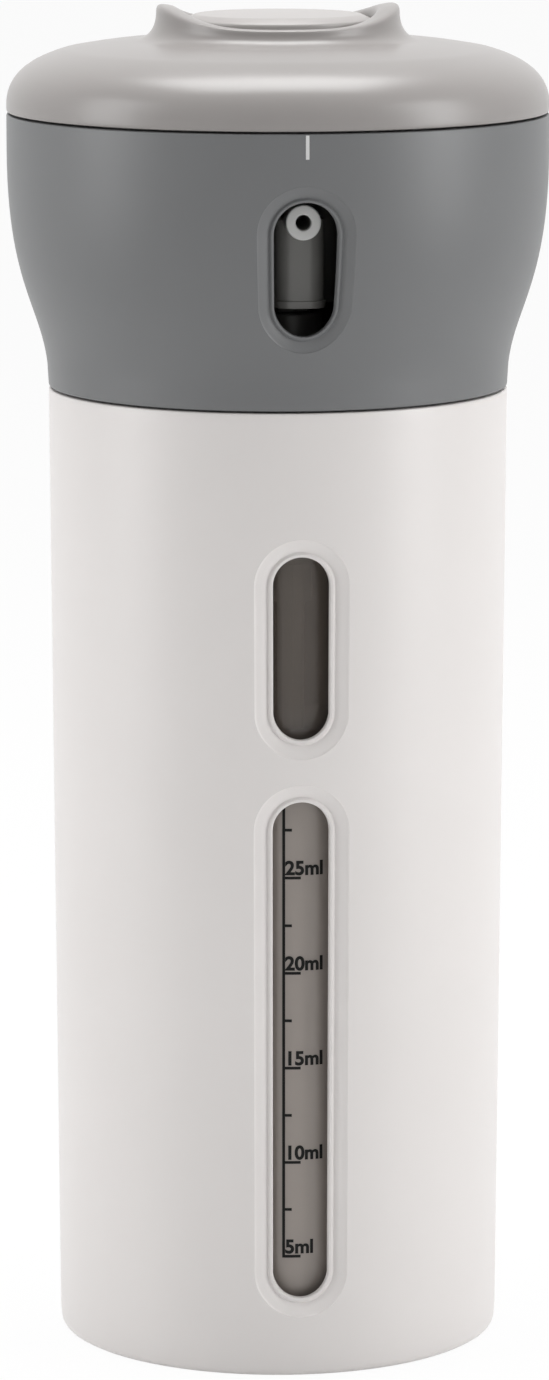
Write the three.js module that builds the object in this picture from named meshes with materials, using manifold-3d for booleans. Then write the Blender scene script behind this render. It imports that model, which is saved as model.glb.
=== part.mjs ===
// Travel dispenser for toiletries: a white sleeve with two sight windows, a grey head with a nozzle slot,
// and a turning dial that carries a carousel of four pump bottles. The bottle at the front shows in the
// windows, its nozzle stands in the slot, and the button in the dial presses that one pump.
// Units are millimetres, +Z is up, the front of the object faces -Y, and the origin is the middle of its base.
import * as THREE from "three";
import { mergeVertices } from "three/addons/utils/BufferGeometryUtils.js";
import Module from "manifold-3d";

const wasm = await Module();
wasm.setup();

// Clearances
const seatGap = 0.3; // between a piece and what it rests on across a joint
const slideGap = 0.3; // each side of a sliding or turning piece
const snugGap = 0.15; // each side of a plug in its socket

// Sleeve, a drafted cup
const sleeveTopRadius = 34.0;
const sleeveDraft = 1.0; // how much narrower the radius is at the base
const sleeveHeight = 142.85;
const sleeveWall = 1.9;
const sleeveFloor = 1.5;
const footRecess = 0.5;
const footRingWidth = 5.0;
const baseEdge = 1.0;

// Sight windows in the sleeve
const windowWidth = 8.6;
const upperWindowFoot = 95.1;
const upperWindowHeight = 26.8;
const lowerWindowFoot = 11.7;
const lowerWindowHeight = 74.3;
const windowRimWidth = 2.65;
const windowRimDepth = 1.05;

const rimLipWidth = 0.25;
const rimLipHeight = 0.3; // above the groove
const grooveShare = 0.3; // of the rim's width, from the opening's edge out to the groove

// Head shell
const headTopRadius = 40.0;
const headWall = 2.0;
const headHeight = 40.15; // from the sleeve's rim to the dial
const headFlareHeight = 34.85; // the curved part, from the foot up
const flareFootPull = 11.4; // how long the flare stays upright at its foot
const flareTopPull = 22.0; // and below its top
const spigotDepth = 8.0;
const spigotWall = 2.4;
const ledgeRise = 1.5; // the spigot goes on this far up inside the head, as a ledge for the carousel

// Nozzle slot in the head
const slotWidth = 9.4;
const slotHeight = 19.5;
const slotRise = 10.85; // from the head's foot to the slot's lower end
const slotRimWidth = 2.3;
const slotRimDepth = 1.05;

// Guide ribs for the presser, and the seal ring on the spigot
const ribThickness = 1.2;
const ribEngagement = 1.0; // how far the presser's arms reach in between the ribs
const ribHeight = 14.0;
const ribTopBelowRim = 3.2;
const sealSection = 0.7; // radius of the ring's round section
const sealProud = 0.15; // how far it stands out of its groove
const sealBelowFoot = 3.2;

// Key in the sleeve's mouth
const keyWidth = 2.4;
const keyHeight = 14.0;
const keyBelowRim = 4.2;
const keyProud = 1.1;

// Dial
const dialShoulderHeight = 9.1; // from the dial's foot to where the shoulder meets the crown
const shoulderRun = 8.5;
const crownRise = 1.3;
const collarRise = 2.5; // the collar's lip above its foot, at the front and back
const earRise = 2.8; // how much higher the lip stands at the two ears
const lipWidth = 2.7; // from the button's well out to the lip's crest
const collarFlareRun = 3.9; // from the crest out to the collar's foot
const dialSkirtWall = 1.4;
const snapLip = 0.8; // the head's rim reaches in this far, over the bead on the dial's skirt
const snapLipHeight = 1.0;
const snapBeadHeight = 1.0;
const wellWall = 2.0;
const wellFloorThickness = 2.0;
const wellFloorDrop = 1.0; // underside of the well's floor below the dial's foot
const dialWall = 2.0;

// Button
const buttonRadius = 13.9;
const buttonChamferRun = 1.7;
const buttonChamferDrop = 0.8;
const buttonTopAboveFoot = 14.2; // above the dial's foot
const buttonSkirt = 4.2;
const buttonWall = 1.6;
const legInset = 6.1; // from the button's edge in to the middle of the legs
const legThickness = 2.4;
const legClearance = 1.8; // from the legs in to the post
const legCount = 3;
const legSweep = 70; // degrees
const legHoleSweep = 78;
const buttonSpringWire = 0.4; // radius
const buttonSpringTurns = 3;
const buttonSpringInset = 3.05; // from the button's edge in to the middle of the wire
const springEndGap = 0.1; // at each end of a spring

// Carousel and its post
const carouselThickness = 2.6;
const postShoulderWidth = 3.4;
const postShoulderThickness = 2.0;
const returnSpringGap = 1.6; // between the post and the wire
const returnSpringWire = 0.4;
const returnSpringTurns = 4;
const returnSpringHeight = 11.5;
const tenonWidth = 5.0;
const tenonHeight = 1.7;
const screwHeadRadius = 4.4;
const screwHeadHeight = 1.8;
const screwRadius = 1.4;
const screwLength = 9.0;

// Bottles, four on a circle
const bottleCount = 4;
const bottleClearance = 1.0; // to the key, as the bottles are drawn past it
const bottleGap = 1.456; // between neighbours
const bottleWall = 1.45;
const bottleBaseWall = 1.2;
const bottleAboveFloor = 0.5;
const shoulderHeight = 6.0;
const neckInset = 3.3; // from the body's radius to the neck's
const neckWall = 1.6;
const neckHeight = 16.0;
const neckAboveSleeve = 3.65; // the neck's top over the sleeve's rim

// Pumps
const stroke = 7.0;
const gasketThickness = 0.8;
const collarWall = 1.2;
const collarSkirt = 11.0; // below the neck's top
const collarFlange = 1.3; // how far the collar's flange reaches past its skirt
const collarFlangeThickness = 1.2;
const collarTopThickness = 1.5;
const turretRadius = 4.5;
const turretHeight = 6.0;
const cylinderBore = 4.5;
const cylinderWall = 1.0;
const cylinderDepth = 26.0; // below the neck's top
const cylinderFlange = 1.2;
const tubeSocketLength = 7.0;
const tubeRadius = 2.0;
const tubeWall = 0.6;
const tubeAboveFloor = 2.0;
const stemRadius = 2.9;
const stemBore = 1.3;
const pistonHeight = 4.0;
const pistonBelowStem = 1.2;
const springWire = 0.35; // radius
const pumpSpringRadius = 3.3;
const pumpSpringTurns = 4;
const ballRadius = 1.6;
const ballSeatRadius = 1.2; // of the hole under the ball
const ballSeatRun = 1.35; // the seat's cone, outward
const ballSeatRise = 1.6; // and upward

// Actuator and nozzle
const actuatorRadius = 6.8;
const actuatorWall = 1.5; // of the skirt that comes down over the turret
const stemSocketDepth = 2.6;
const nozzleAboveSocket = 4.4; // the nozzle's axis above the end of the stem's socket
const nozzleBelowTop = 3.7;
const apronWidth = 7.4; // the upright block under the spout
const apronSetback = 4.1; // from the nozzle's end back to the apron's nose
const apronFootHeight = 1.0; // of the small toe at the apron's lower end
const apronToe = 0.2;
const noseCorner = 2.6; // corner radius of the apron's nose
const spoutRadius = 2.1;
const tipRadius = 2.55;
const tipLength = 4.0;
const tipWall = 0.9;
const nozzleBore = 1.1;
const nozzleClearance = 3.2; // from the nozzle's end to the head's wall

// Presser
const presserThickness = 2.0;
const presserHubClearance = 0.7; // to the pump tops that it passes
const presserArmWidth = 5.0;
const presserArmClearance = 1.4; // to the head's wall
const lugRadius = 5.0;
const lugHeight = 2.2;
const frontArmWidth = 8.0;

// Facets
const shellSteps = 40;
const bottleSteps = 18;
const collarSteps = 16;
const pumpSteps = 12;
const tubeSteps = 8;
const sliverLength = 0.004;

// Heights worked out from the sizes above
const headFoot = sleeveHeight + seatGap;
const headTop = headFoot + headHeight;
const dialFoot = headTop + seatGap;
const sleeveBaseRadius = sleeveTopRadius - sleeveDraft;
const sleeveMouthRadius = sleeveTopRadius - sleeveWall;
const spigotRadius = sleeveMouthRadius - slideGap;
const sealMiddle = spigotRadius + sealProud - sealSection;
const ledgeTop = headFoot + ledgeRise;
const carouselFoot = ledgeTop + seatGap;
const carouselTop = carouselFoot + carouselThickness;
const carouselRadius = sleeveTopRadius - headWall - 2 * slideGap;
const wellFloorFoot = dialFoot - wellFloorDrop;
const wellFloorTop = wellFloorFoot + wellFloorThickness;
const wellRadius = buttonRadius + slideGap + 0.1;
const bottleReach = sleeveMouthRadius - keyProud - bottleClearance;
const bottleRadius = (bottleReach * Math.SQRT2 - bottleGap) / (2 + Math.SQRT2);
const bottleCircle = bottleReach - bottleRadius;
const bottleFoot = sleeveFloor + bottleAboveFloor;
const neckRadius = bottleRadius - neckInset;
const neckTop = sleeveHeight + neckAboveSleeve;
const neckFoot = neckTop - neckHeight;
const bodyTop = neckFoot - shoulderHeight;
const gasketTop = neckTop + gasketThickness;
const flangeTop = gasketTop + cylinderFlange;
const collarTop = flangeTop + collarTopThickness;
const turretTop = collarTop + turretHeight;
const collarRadius = neckRadius + slideGap + collarWall;
const actuatorFoot = collarTop + stroke + 2 * seatGap;
const actuatorRoof = turretTop + stroke + seatGap;
const stemTop = actuatorRoof + stemSocketDepth;
const nozzleAxis = stemTop + nozzleAboveSocket;
const actuatorTop = nozzleAxis + nozzleBelowTop;
const presserFoot = actuatorTop + seatGap + lugHeight;
const presserTop = presserFoot + presserThickness;
const presserHubRadius = bottleCircle - actuatorRadius - presserHubClearance;
const presserArmReach = headTopRadius - headWall - presserArmClearance;
const ribInnerRadius = presserArmReach - ribEngagement;
const nozzleReach = headTopRadius - headWall - nozzleClearance;
const apronReach = nozzleReach - apronSetback;
const legRadius = buttonRadius - legInset;
const postRadius = legRadius - legThickness / 2 - legClearance;
const postShoulderRadius = postRadius + postShoulderWidth;
const returnSpringRadius = postRadius + returnSpringGap + returnSpringWire;
const lipRadius = wellRadius + lipWidth;
const postShoulder = presserFoot - returnSpringHeight;
const cylinderFoot = neckTop - cylinderDepth;
const ballSeatFoot = cylinderFoot - 0.6;
const springSeat = cylinderFoot + 2.0;
const pistonTop = flangeTop - 5.0;
const buttonTop = dialFoot + buttonTopAboveFoot;
const buttonCeiling = buttonTop - buttonWall;

const material = (color, roughness, extra = {}) =>
  new THREE.MeshStandardMaterial({ color, roughness, metalness: 0, ...extra });
const whitePlastic = material(0xe6e3e1, 0.35);
const headPlastic = material(0x77787a, 0.4);
const dialPlastic = material(0xb9b6b3, 0.3);
const buttonPlastic = material(0xd6d3d0, 0.35);
const innerPlastic = material(0x55565a, 0.5);
const pumpPlastic = material(0xeeeeec, 0.4);
const clearPlastic = material(0x9c9a94, 0.1, { transparent: true, opacity: 0.5 });
const siliconeRubber = material(0xd8d8d6, 0.7);
const springSteel = material(0xb4b6b8, 0.25, { metalness: 1 });

const group = new THREE.Group();

// A ring or disc turned about Z from a closed outline of [radius, height] points.
function turned(outline, steps) {
  let twiceArea = 0;
  outline.forEach(([r, z], i) => {
    const [nextR, nextZ] = outline[(i + 1) % outline.length];
    twiceArea += r * nextZ - nextR * z;
  });
  const ordered = twiceArea > 0 ? outline : [...outline].reverse();
  const points = [...ordered, ordered[0]].map(([r, z]) => new THREE.Vector2(r, z));
  return new THREE.LatheGeometry(points, steps).rotateX(Math.PI / 2);
}

function solidOf(geometry) {
  const bare = geometry.clone();
  bare.deleteAttribute("normal");
  bare.deleteAttribute("uv");
  const merged = mergeVertices(bare, 1e-4);
  return new wasm.Manifold(
    new wasm.Mesh({
      numProp: 3,
      vertProperties: new Float32Array(merged.attributes.position.array),
      triVerts: new Uint32Array(merged.index.array),
    }),
  );
}

// Slivers shorter than the tolerance are closed up, so that no face is lost when a file rounds its points.
function geometryOf(solid) {
  const { vertProperties, triVerts } = solid.simplify(sliverLength).getMesh();
  return new THREE.BufferGeometry()
    .setAttribute("position", new THREE.BufferAttribute(vertProperties, 3))
    .setIndex(new THREE.BufferAttribute(triVerts, 1));
}

function piece(name, geometry, finish, parent = group) {
  const mesh = new THREE.Mesh(geometry, finish);
  mesh.name = name;
  parent.add(mesh);
  return mesh;
}

// A block between two heights, running out from the axis along +X and then turned.
function radialBlock(innerRadius, outerRadius, width, foot, top, turn, sideways = 0) {
  const block = new THREE.BoxGeometry(outerRadius - innerRadius, width, top - foot);
  block.translate((innerRadius + outerRadius) / 2, sideways, (foot + top) / 2);
  return solidOf(block.rotateZ(turn));
}

// A sector of a ring between two heights, its middle at the angle given.
function ringSector(innerRadius, outerRadius, sweep, middle, foot, top) {
  const shape = new THREE.Shape();
  shape.absarc(0, 0, outerRadius, middle - sweep / 2, middle + sweep / 2, false);
  shape.absarc(0, 0, innerRadius, middle + sweep / 2, middle - sweep / 2, true);
  const sector = new THREE.ExtrudeGeometry(shape, {
    depth: top - foot,
    bevelEnabled: false,
    curveSegments: 6,
  });
  return solidOf(sector.translate(0, 0, foot));
}

// The radius of the head's outside at a height: upright at the foot, an S curve, upright at the top.
const flare = new THREE.CubicBezierCurve(
  new THREE.Vector2(sleeveTopRadius, headFoot),
  new THREE.Vector2(sleeveTopRadius, headFoot + flareFootPull),
  new THREE.Vector2(headTopRadius, headFoot + headFlareHeight - flareTopPull),
  new THREE.Vector2(headTopRadius, headFoot + headFlareHeight),
);
const flarePoints = flare.getPoints(8).map((p) => [p.x, p.y]);

function headRadiusAt(z) {
  const above = flarePoints.findIndex(([, height]) => height >= z);
  if (above < 0) return headTopRadius;
  if (above === 0) return sleeveTopRadius;
  const [r0, z0] = flarePoints[above - 1];
  const [r1, z1] = flarePoints[above];
  return r0 + ((r1 - r0) * (z - z0)) / (z1 - z0);
}

function sleeveRadiusAt(z) {
  return sleeveBaseRadius + ((sleeveTopRadius - sleeveBaseRadius) * z) / sleeveHeight;
}

// A round-ended plug that follows a turned wall at its front (-Y). Each section says how wide and how far
// outside the wall's surface its outline lies.
function wrappedPlug(middle, height, sections, radiusAt) {
  const endSteps = 8;
  const positions = [];
  for (const { grow, offset, width } of sections) {
    const endRadius = width / 2 + grow;
    const straight = (height - width) / 2;
    for (const side of [1, -1]) {
      for (let i = 0; i <= endSteps; i++) {
        const angle = (Math.PI * i) / endSteps;
        const across = side * endRadius * Math.cos(angle);
        const z = middle + side * (straight + endRadius * Math.sin(angle));
        const radius = radiusAt(z) + offset;
        const turn = across / radiusAt(middle);
        positions.push(radius * Math.sin(turn), -radius * Math.cos(turn), z);
      }
    }
  }
  const ring = 2 * (endSteps + 1);
  const faces = [];
  for (let s = 0; s + 1 < sections.length; s++) {
    for (let i = 0; i < ring; i++) {
      const [a, b] = [s * ring + i, s * ring + ((i + 1) % ring)];
      faces.push(a, b, b + ring, a, b + ring, a + ring);
    }
  }
  const last = (sections.length - 1) * ring;
  for (let i = 1; i + 1 < ring; i++) {
    faces.push(0, i + 1, i, last, last + i, last + i + 1);
  }
  const plug = new THREE.BufferGeometry()
    .setAttribute("position", new THREE.Float32BufferAttribute(positions, 3))
    .setIndex(faces);
  return solidOf(plug);
}

// Cuts an opening with a sunk rim around it: a slope down to a groove, and a low lip next to the opening.
function cutOpening(solid, foot, height, width, rimWidth, rimDepth, wall, radiusAt) {
  const middle = foot + height / 2;
  const through = [
    { grow: 0, offset: -wall - 3, width },
    { grow: 0, offset: 2, width },
  ];
  const rim = [
    { grow: rimLipWidth, offset: rimLipHeight - rimDepth, width },
    { grow: grooveShare * rimWidth, offset: -rimDepth, width },
    { grow: rimWidth, offset: 0.05, width },
    { grow: rimWidth, offset: 2, width },
  ];
  return solid
    .subtract(wrappedPlug(middle, height, through, radiusAt))
    .subtract(wrappedPlug(middle, height, rim, radiusAt));
}

function outerSleeve() {
  const innerBase = sleeveBaseRadius - sleeveWall;
  const outline = [
    [0, footRecess],
    [sleeveBaseRadius - footRingWidth, footRecess],
    [sleeveBaseRadius - footRingWidth, 0],
    [sleeveBaseRadius - baseEdge, 0],
    [sleeveRadiusAt(baseEdge), baseEdge],
    [sleeveTopRadius, sleeveHeight],
    [sleeveMouthRadius, sleeveHeight],
    [innerBase, sleeveFloor],
    [0, sleeveFloor],
  ];
  let cup = solidOf(turned(outline, shellSteps));
  const keyTop = sleeveHeight - keyBelowRim;
  cup = cup.add(
    radialBlock(
      sleeveMouthRadius - keyProud,
      sleeveMouthRadius + sleeveWall / 2,
      keyWidth,
      keyTop - keyHeight,
      keyTop,
      Math.PI / 2,
    ),
  );
  for (const [foot, height] of [
    [upperWindowFoot, upperWindowHeight],
    [lowerWindowFoot, lowerWindowHeight],
  ]) {
    cup = cutOpening(
      cup,
      foot,
      height,
      windowWidth,
      windowRimWidth,
      windowRimDepth,
      sleeveWall,
      sleeveRadiusAt,
    );
  }
  return geometryOf(cup);
}

function headShell() {
  const spigotFoot = headFoot - spigotDepth;
  const spigotBore = spigotRadius - spigotWall;
  const sealHeight = headFoot - sealBelowFoot;
  const grooveRadius = sealMiddle - sealSection - 0.1;
  const outside = flarePoints.filter(([, z]) => z < headTop);
  const inside = outside
    .filter(([, z], i) => z > ledgeTop && i % 2 === 0)
    .map(([r, z]) => [r - headWall, z]);
  const outline = [
    [spigotBore, spigotFoot],
    [spigotRadius, spigotFoot],
    [spigotRadius, sealHeight - sealSection - 0.1],
    [grooveRadius, sealHeight - sealSection - 0.1],
    [grooveRadius, sealHeight + sealSection + 0.1],
    [spigotRadius, sealHeight + sealSection + 0.1],
    [spigotRadius, headFoot],
    ...outside,
    [headTopRadius, headTop],
    [headTopRadius - headWall - snapLip, headTop],
    [headTopRadius - headWall - snapLip, headTop - snapLipHeight],
    [headTopRadius - headWall, headTop - snapLipHeight],
    ...inside.reverse(),
    [sleeveTopRadius - headWall, ledgeTop],
    [spigotBore, ledgeTop],
  ];
  let shell = solidOf(turned(outline, shellSteps));
  const ribTop = headTop - ribTopBelowRim;
  const ribOffset = presserArmWidth / 2 + slideGap + ribThickness / 2;
  for (let i = 0; i < bottleCount; i++) {
    const diagonal = Math.PI / bottleCount + (i * 2 * Math.PI) / bottleCount;
    for (const side of [-1, 1]) {
      shell = shell.add(
        radialBlock(
          ribInnerRadius,
          headTopRadius - 0.75 * headWall,
          ribThickness,
          ribTop - ribHeight,
          ribTop,
          diagonal,
          side * ribOffset,
        ),
      );
    }
  }
  const keySlot = radialBlock(
    spigotBore - 1,
    sleeveTopRadius - 0.5,
    keyWidth + 2 * slideGap,
    spigotFoot - 1,
    sleeveHeight - keyBelowRim + slideGap,
    Math.PI / 2,
  );
  shell = shell.subtract(keySlot);
  shell = cutOpening(
    shell,
    headFoot + slotRise,
    slotHeight,
    slotWidth,
    slotRimWidth,
    slotRimDepth,
    headWall,
    headRadiusAt,
  );
  return geometryOf(shell);
}

// A round-section ring, its outline a regular polygon.
function sealRing(ringRadius, height) {
  const sides = 6;
  const outline = [];
  for (let i = 0; i < sides; i++) {
    const angle = (2 * Math.PI * (i + 0.5)) / sides;
    outline.push([
      ringRadius + sealSection * Math.cos(angle),
      height + sealSection * Math.sin(angle),
    ]);
  }
  return turned(outline, 48);
}

// A coil spring between two heights, standing on the axis.
function coilSpring(radius, wire, turns, foot, top, stepsPerTurn) {
  class Helix extends THREE.Curve {
    getPoint(t, target = new THREE.Vector3()) {
      const angle = 2 * Math.PI * turns * t;
      return target.set(
        radius * Math.cos(angle),
        radius * Math.sin(angle),
        foot + wire + (top - foot - 2 * wire) * t,
      );
    }
  }
  const section = new THREE.Shape();
  const sides = 4;
  for (let i = 0; i < sides; i++) {
    const angle = (2 * Math.PI * i) / sides;
    const [x, y] = [wire * Math.cos(angle), wire * Math.sin(angle)];
    if (i) section.lineTo(x, y);
    else section.moveTo(x, y);
  }
  return new THREE.ExtrudeGeometry(section, {
    steps: turns * stepsPerTurn,
    bevelEnabled: false,
    extrudePath: new Helix(),
  });
}

function dialDome() {
  const shoulderFoot = dialFoot + 1.0;
  const shoulderTop = dialFoot + dialShoulderHeight;
  const crownRadius = headTopRadius - shoulderRun;
  const collarFootRadius = lipRadius + collarFlareRun;
  const collarFoot = shoulderTop + crownRise;
  const shoulder = new THREE.CubicBezierCurve(
    new THREE.Vector2(headTopRadius, shoulderFoot),
    new THREE.Vector2(headTopRadius, shoulderFoot + 4.4),
    new THREE.Vector2(crownRadius + 5.0, shoulderTop - 1.4),
    new THREE.Vector2(crownRadius, shoulderTop),
  );
  const lip = collarFoot + collarRise;
  const collar = new THREE.CubicBezierCurve(
    new THREE.Vector2(collarFootRadius, collarFoot),
    new THREE.Vector2(lipRadius + 1.9, collarFoot + 0.15),
    new THREE.Vector2(lipRadius + 0.9, lip - 1.6),
    new THREE.Vector2(lipRadius + 0.8, lip - 0.3),
  );
  const list = (curve, steps) => curve.getPoints(steps).map((p) => [p.x, p.y]);
  const wellOutside = wellRadius + wellWall;
  const skirtRadius = headTopRadius - headWall - snapLip - slideGap - 0.1;
  const beadTop = headTop - snapLipHeight - seatGap;
  const outline = [
    [0, wellFloorFoot],
    [wellOutside, wellFloorFoot],
    [wellOutside, collarFoot - dialWall - 0.4],
    [collarFootRadius - 1, collarFoot - dialWall - 0.4],
    [crownRadius - 1, shoulderTop - dialWall],
    [crownRadius + 3.0, shoulderTop - dialWall - 1.4],
    [skirtRadius - dialSkirtWall, dialFoot + 2.6],
    [skirtRadius - dialSkirtWall, beadTop - snapBeadHeight],
    [skirtRadius + snapLip, beadTop - snapBeadHeight + 0.4],
    [skirtRadius + snapLip, beadTop],
    [skirtRadius, beadTop],
    [skirtRadius, dialFoot],
    [headTopRadius - 0.3, dialFoot],
    [headTopRadius, dialFoot + 0.3],
    ...list(shoulder, 6),
    ...list(collar, 4),
    [lipRadius, lip],
    [wellRadius + 0.5, lip - 0.1],
    [wellRadius, lip - 0.6],
    [wellRadius, wellFloorTop],
    [0, wellFloorTop],
  ];
  const dome = turned(outline, shellSteps);
  // The collar's lip rises to an ear on the left and on the right.
  const position = dome.getAttribute("position");
  for (let i = 0; i < position.count; i++) {
    const [x, y, z] = [position.getX(i), position.getY(i), position.getZ(i)];
    const radius = Math.hypot(x, y);
    if (z > collarFoot && radius > 1) {
      const share = Math.min(1, (z - collarFoot) / collarRise);
      position.setZ(i, z + earRise * share * (x / radius) ** 4);
    }
  }
  let solid = solidOf(dome);
  const legHole = (2 * Math.PI * legHoleSweep) / 360;
  for (let i = 0; i < legCount; i++) {
    solid = solid.subtract(
      ringSector(
        legRadius - legThickness / 2 - slideGap,
        legRadius + legThickness / 2 + slideGap,
        legHole,
        legAngle(i),
        wellFloorFoot - 1,
        wellFloorTop + 1,
      ),
    );
  }
  const tenonHole = new THREE.BoxGeometry(
    tenonWidth + 2 * snugGap,
    tenonWidth + 2 * snugGap,
    wellFloorThickness + 2,
  ).translate(0, 0, (wellFloorFoot + wellFloorTop) / 2);
  return geometryOf(solid.subtract(solidOf(tenonHole)));
}

function legAngle(i) {
  return Math.PI / 2 + (i * 2 * Math.PI) / legCount;
}

function pushButton() {
  const inner = buttonRadius - buttonWall + 0.2;
  const outline = [
    [0, buttonTop],
    [buttonRadius - buttonChamferRun, buttonTop],
    [buttonRadius, buttonTop - buttonChamferDrop],
    [buttonRadius, buttonTop - buttonSkirt],
    [inner, buttonTop - buttonSkirt],
    [inner, buttonCeiling],
    [0, buttonCeiling],
  ];
  let cap = solidOf(turned(outline, 40));
  for (let i = 0; i < legCount; i++) {
    cap = cap.add(
      ringSector(
        legRadius - legThickness / 2,
        legRadius + legThickness / 2,
        (2 * Math.PI * legSweep) / 360,
        legAngle(i),
        presserTop + seatGap,
        buttonCeiling + buttonWall / 2,
      ),
    );
  }
  return geometryOf(cap);
}

function carousel() {
  const postTop = wellFloorFoot - seatGap;
  const outline = [
    [0, carouselFoot],
    [carouselRadius, carouselFoot],
    [carouselRadius, carouselTop],
    [postRadius + 1.5, carouselTop],
    [postRadius, carouselTop + 2.5],
    [postRadius, postShoulder - postShoulderThickness],
    [postShoulderRadius, postShoulder - postShoulderThickness],
    [postShoulderRadius, postShoulder],
    [postRadius, postShoulder],
    [postRadius, postTop],
    [0, postTop],
  ];
  let plate = solidOf(turned(outline, shellSteps));
  for (let i = 0; i < bottleCount; i++) {
    const angle = (i * 2 * Math.PI) / bottleCount;
    const hole = turned(
      [
        [0, carouselFoot - 1],
        [collarRadius + slideGap, carouselFoot - 1],
        [collarRadius + slideGap, carouselTop + 1],
        [0, carouselTop + 1],
      ],
      bottleSteps,
    ).translate(bottleCircle * Math.sin(angle), -bottleCircle * Math.cos(angle), 0);
    plate = plate.subtract(solidOf(hole));
  }
  const tenon = new THREE.BoxGeometry(tenonWidth, tenonWidth, tenonHeight + 1);
  tenon.translate(0, 0, wellFloorFoot + tenonHeight - (tenonHeight + 1) / 2);
  const pilotFoot = wellFloorTop - screwLength - 1;
  const pilot = turned(
    [
      [0, pilotFoot],
      [screwRadius + snugGap, pilotFoot],
      [screwRadius + snugGap, wellFloorTop + 1],
      [0, wellFloorTop + 1],
    ],
    tubeSteps,
  );
  return geometryOf(plate.add(solidOf(tenon)).subtract(solidOf(pilot)));
}

function dialScrew() {
  const shankFoot = wellFloorTop - screwLength;
  const outline = [
    [0, shankFoot],
    [screwRadius, shankFoot],
    [screwRadius, wellFloorTop],
    [screwHeadRadius, wellFloorTop],
    [screwHeadRadius, wellFloorTop + 0.6 * screwHeadHeight],
    [screwHeadRadius - 0.9, wellFloorTop + screwHeadHeight],
    [0, wellFloorTop + screwHeadHeight],
  ];
  const recessWidth = 1.0;
  let screw = solidOf(turned(outline, pumpSteps));
  for (const [long, wide] of [
    [4.4, recessWidth],
    [recessWidth, 4.4],
  ]) {
    const slot = new THREE.BoxGeometry(long, wide, 2);
    slot.translate(0, 0, wellFloorTop + screwHeadHeight);
    screw = screw.subtract(solidOf(slot));
  }
  return geometryOf(screw);
}

function pressPlate() {
  const hub = turned(
    [
      [postRadius + slideGap + 0.1, presserFoot],
      [presserHubRadius, presserFoot],
      [presserHubRadius, presserTop],
      [postRadius + slideGap + 0.1, presserTop],
    ],
    32,
  );
  let plate = solidOf(hub);
  const armStart = presserHubRadius - 2;
  for (let i = 0; i < bottleCount; i++) {
    const diagonal = Math.PI / bottleCount + (i * 2 * Math.PI) / bottleCount;
    plate = plate.add(
      radialBlock(
        armStart,
        presserArmReach,
        presserArmWidth,
        presserFoot,
        presserTop,
        diagonal,
      ),
    );
  }
  const front = -Math.PI / 2;
  plate = plate.add(
    radialBlock(armStart, bottleCircle, frontArmWidth, presserFoot, presserTop, front),
  );
  const lug = turned(
    [
      [0, presserFoot - lugHeight],
      [lugRadius, presserFoot - lugHeight],
      [lugRadius, presserTop],
      [0, presserTop],
    ],
    bottleSteps,
  ).translate(0, -bottleCircle, 0);
  return geometryOf(plate.add(solidOf(lug)));
}

function bottle() {
  const bore = bottleRadius - bottleWall;
  const neckBore = neckRadius - neckWall;
  const insideFoot = bottleFoot + bottleBaseWall;
  const outline = [
    [0, bottleFoot + 0.6],
    [bottleRadius - 3, bottleFoot],
    [bottleRadius - 1, bottleFoot],
    [bottleRadius, bottleFoot + 1],
    [bottleRadius, bodyTop],
    [bottleRadius - 0.9, bodyTop + 0.6 * shoulderHeight],
    [neckRadius, neckFoot],
    [neckRadius, neckTop],
    [neckBore, neckTop],
    [neckBore, neckFoot - 1],
    [bore - 0.4, bodyTop],
    [bore, bodyTop - 2],
    [bore, insideFoot],
    [0, insideFoot + 0.6],
  ];
  return turned(outline, bottleSteps);
}

function pumpCollar() {
  const skirtFoot = neckTop - collarSkirt;
  const bore = neckRadius + slideGap;
  const topRadius = collarRadius - 0.6;
  const stemHole = stemRadius + slideGap;
  const outline = [
    [bore, skirtFoot],
    [collarRadius, skirtFoot],
    [collarRadius, carouselTop + seatGap],
    [collarRadius + collarFlange, carouselTop + seatGap],
    [collarRadius + collarFlange, carouselTop + seatGap + collarFlangeThickness],
    [topRadius, carouselTop + seatGap + collarFlangeThickness],
    [topRadius, collarTop - 0.6],
    [topRadius - 0.6, collarTop],
    [turretRadius, collarTop],
    [turretRadius, turretTop],
    [stemHole, turretTop],
    [stemHole, flangeTop],
    [bore, flangeTop],
  ];
  return turned(outline, collarSteps);
}

function neckGasket() {
  const inner = neckRadius - neckWall;
  return turned(
    [
      [inner, neckTop],
      [neckRadius, neckTop],
      [neckRadius, gasketTop],
      [inner, gasketTop],
    ],
    pumpSteps,
  );
}

function pumpCylinder() {
  const outer = cylinderBore + cylinderWall;
  const socket = tubeRadius + snugGap;
  const coneTop = ballSeatFoot + ballSeatRise;
  const outline = [
    [socket, cylinderFoot - tubeSocketLength],
    [socket + cylinderWall, cylinderFoot - tubeSocketLength],
    [socket + cylinderWall, cylinderFoot - 1.5],
    [outer, cylinderFoot],
    [outer, gasketTop],
    [neckRadius, gasketTop],
    [neckRadius, flangeTop],
    [cylinderBore, flangeTop],
    [cylinderBore, springSeat],
    [ballSeatRadius + ballSeatRun, coneTop],
    [ballSeatRadius, ballSeatFoot],
    [ballSeatRadius, cylinderFoot - 1.5],
    [socket, cylinderFoot - 1.5],
  ];
  return turned(outline, pumpSteps);
}

// The ball lies in its cone with a gap all round.
function checkBall() {
  const slope = Math.hypot(ballSeatRun, ballSeatRise);
  const reach = (ballRadius + seatGap) * slope - ballSeatRadius * ballSeatRise;
  const seatHeight = ballSeatFoot + reach / ballSeatRun;
  return new THREE.SphereGeometry(ballRadius, 8, 5)
    .rotateX(Math.PI / 2)
    .translate(0, 0, seatHeight);
}

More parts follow.
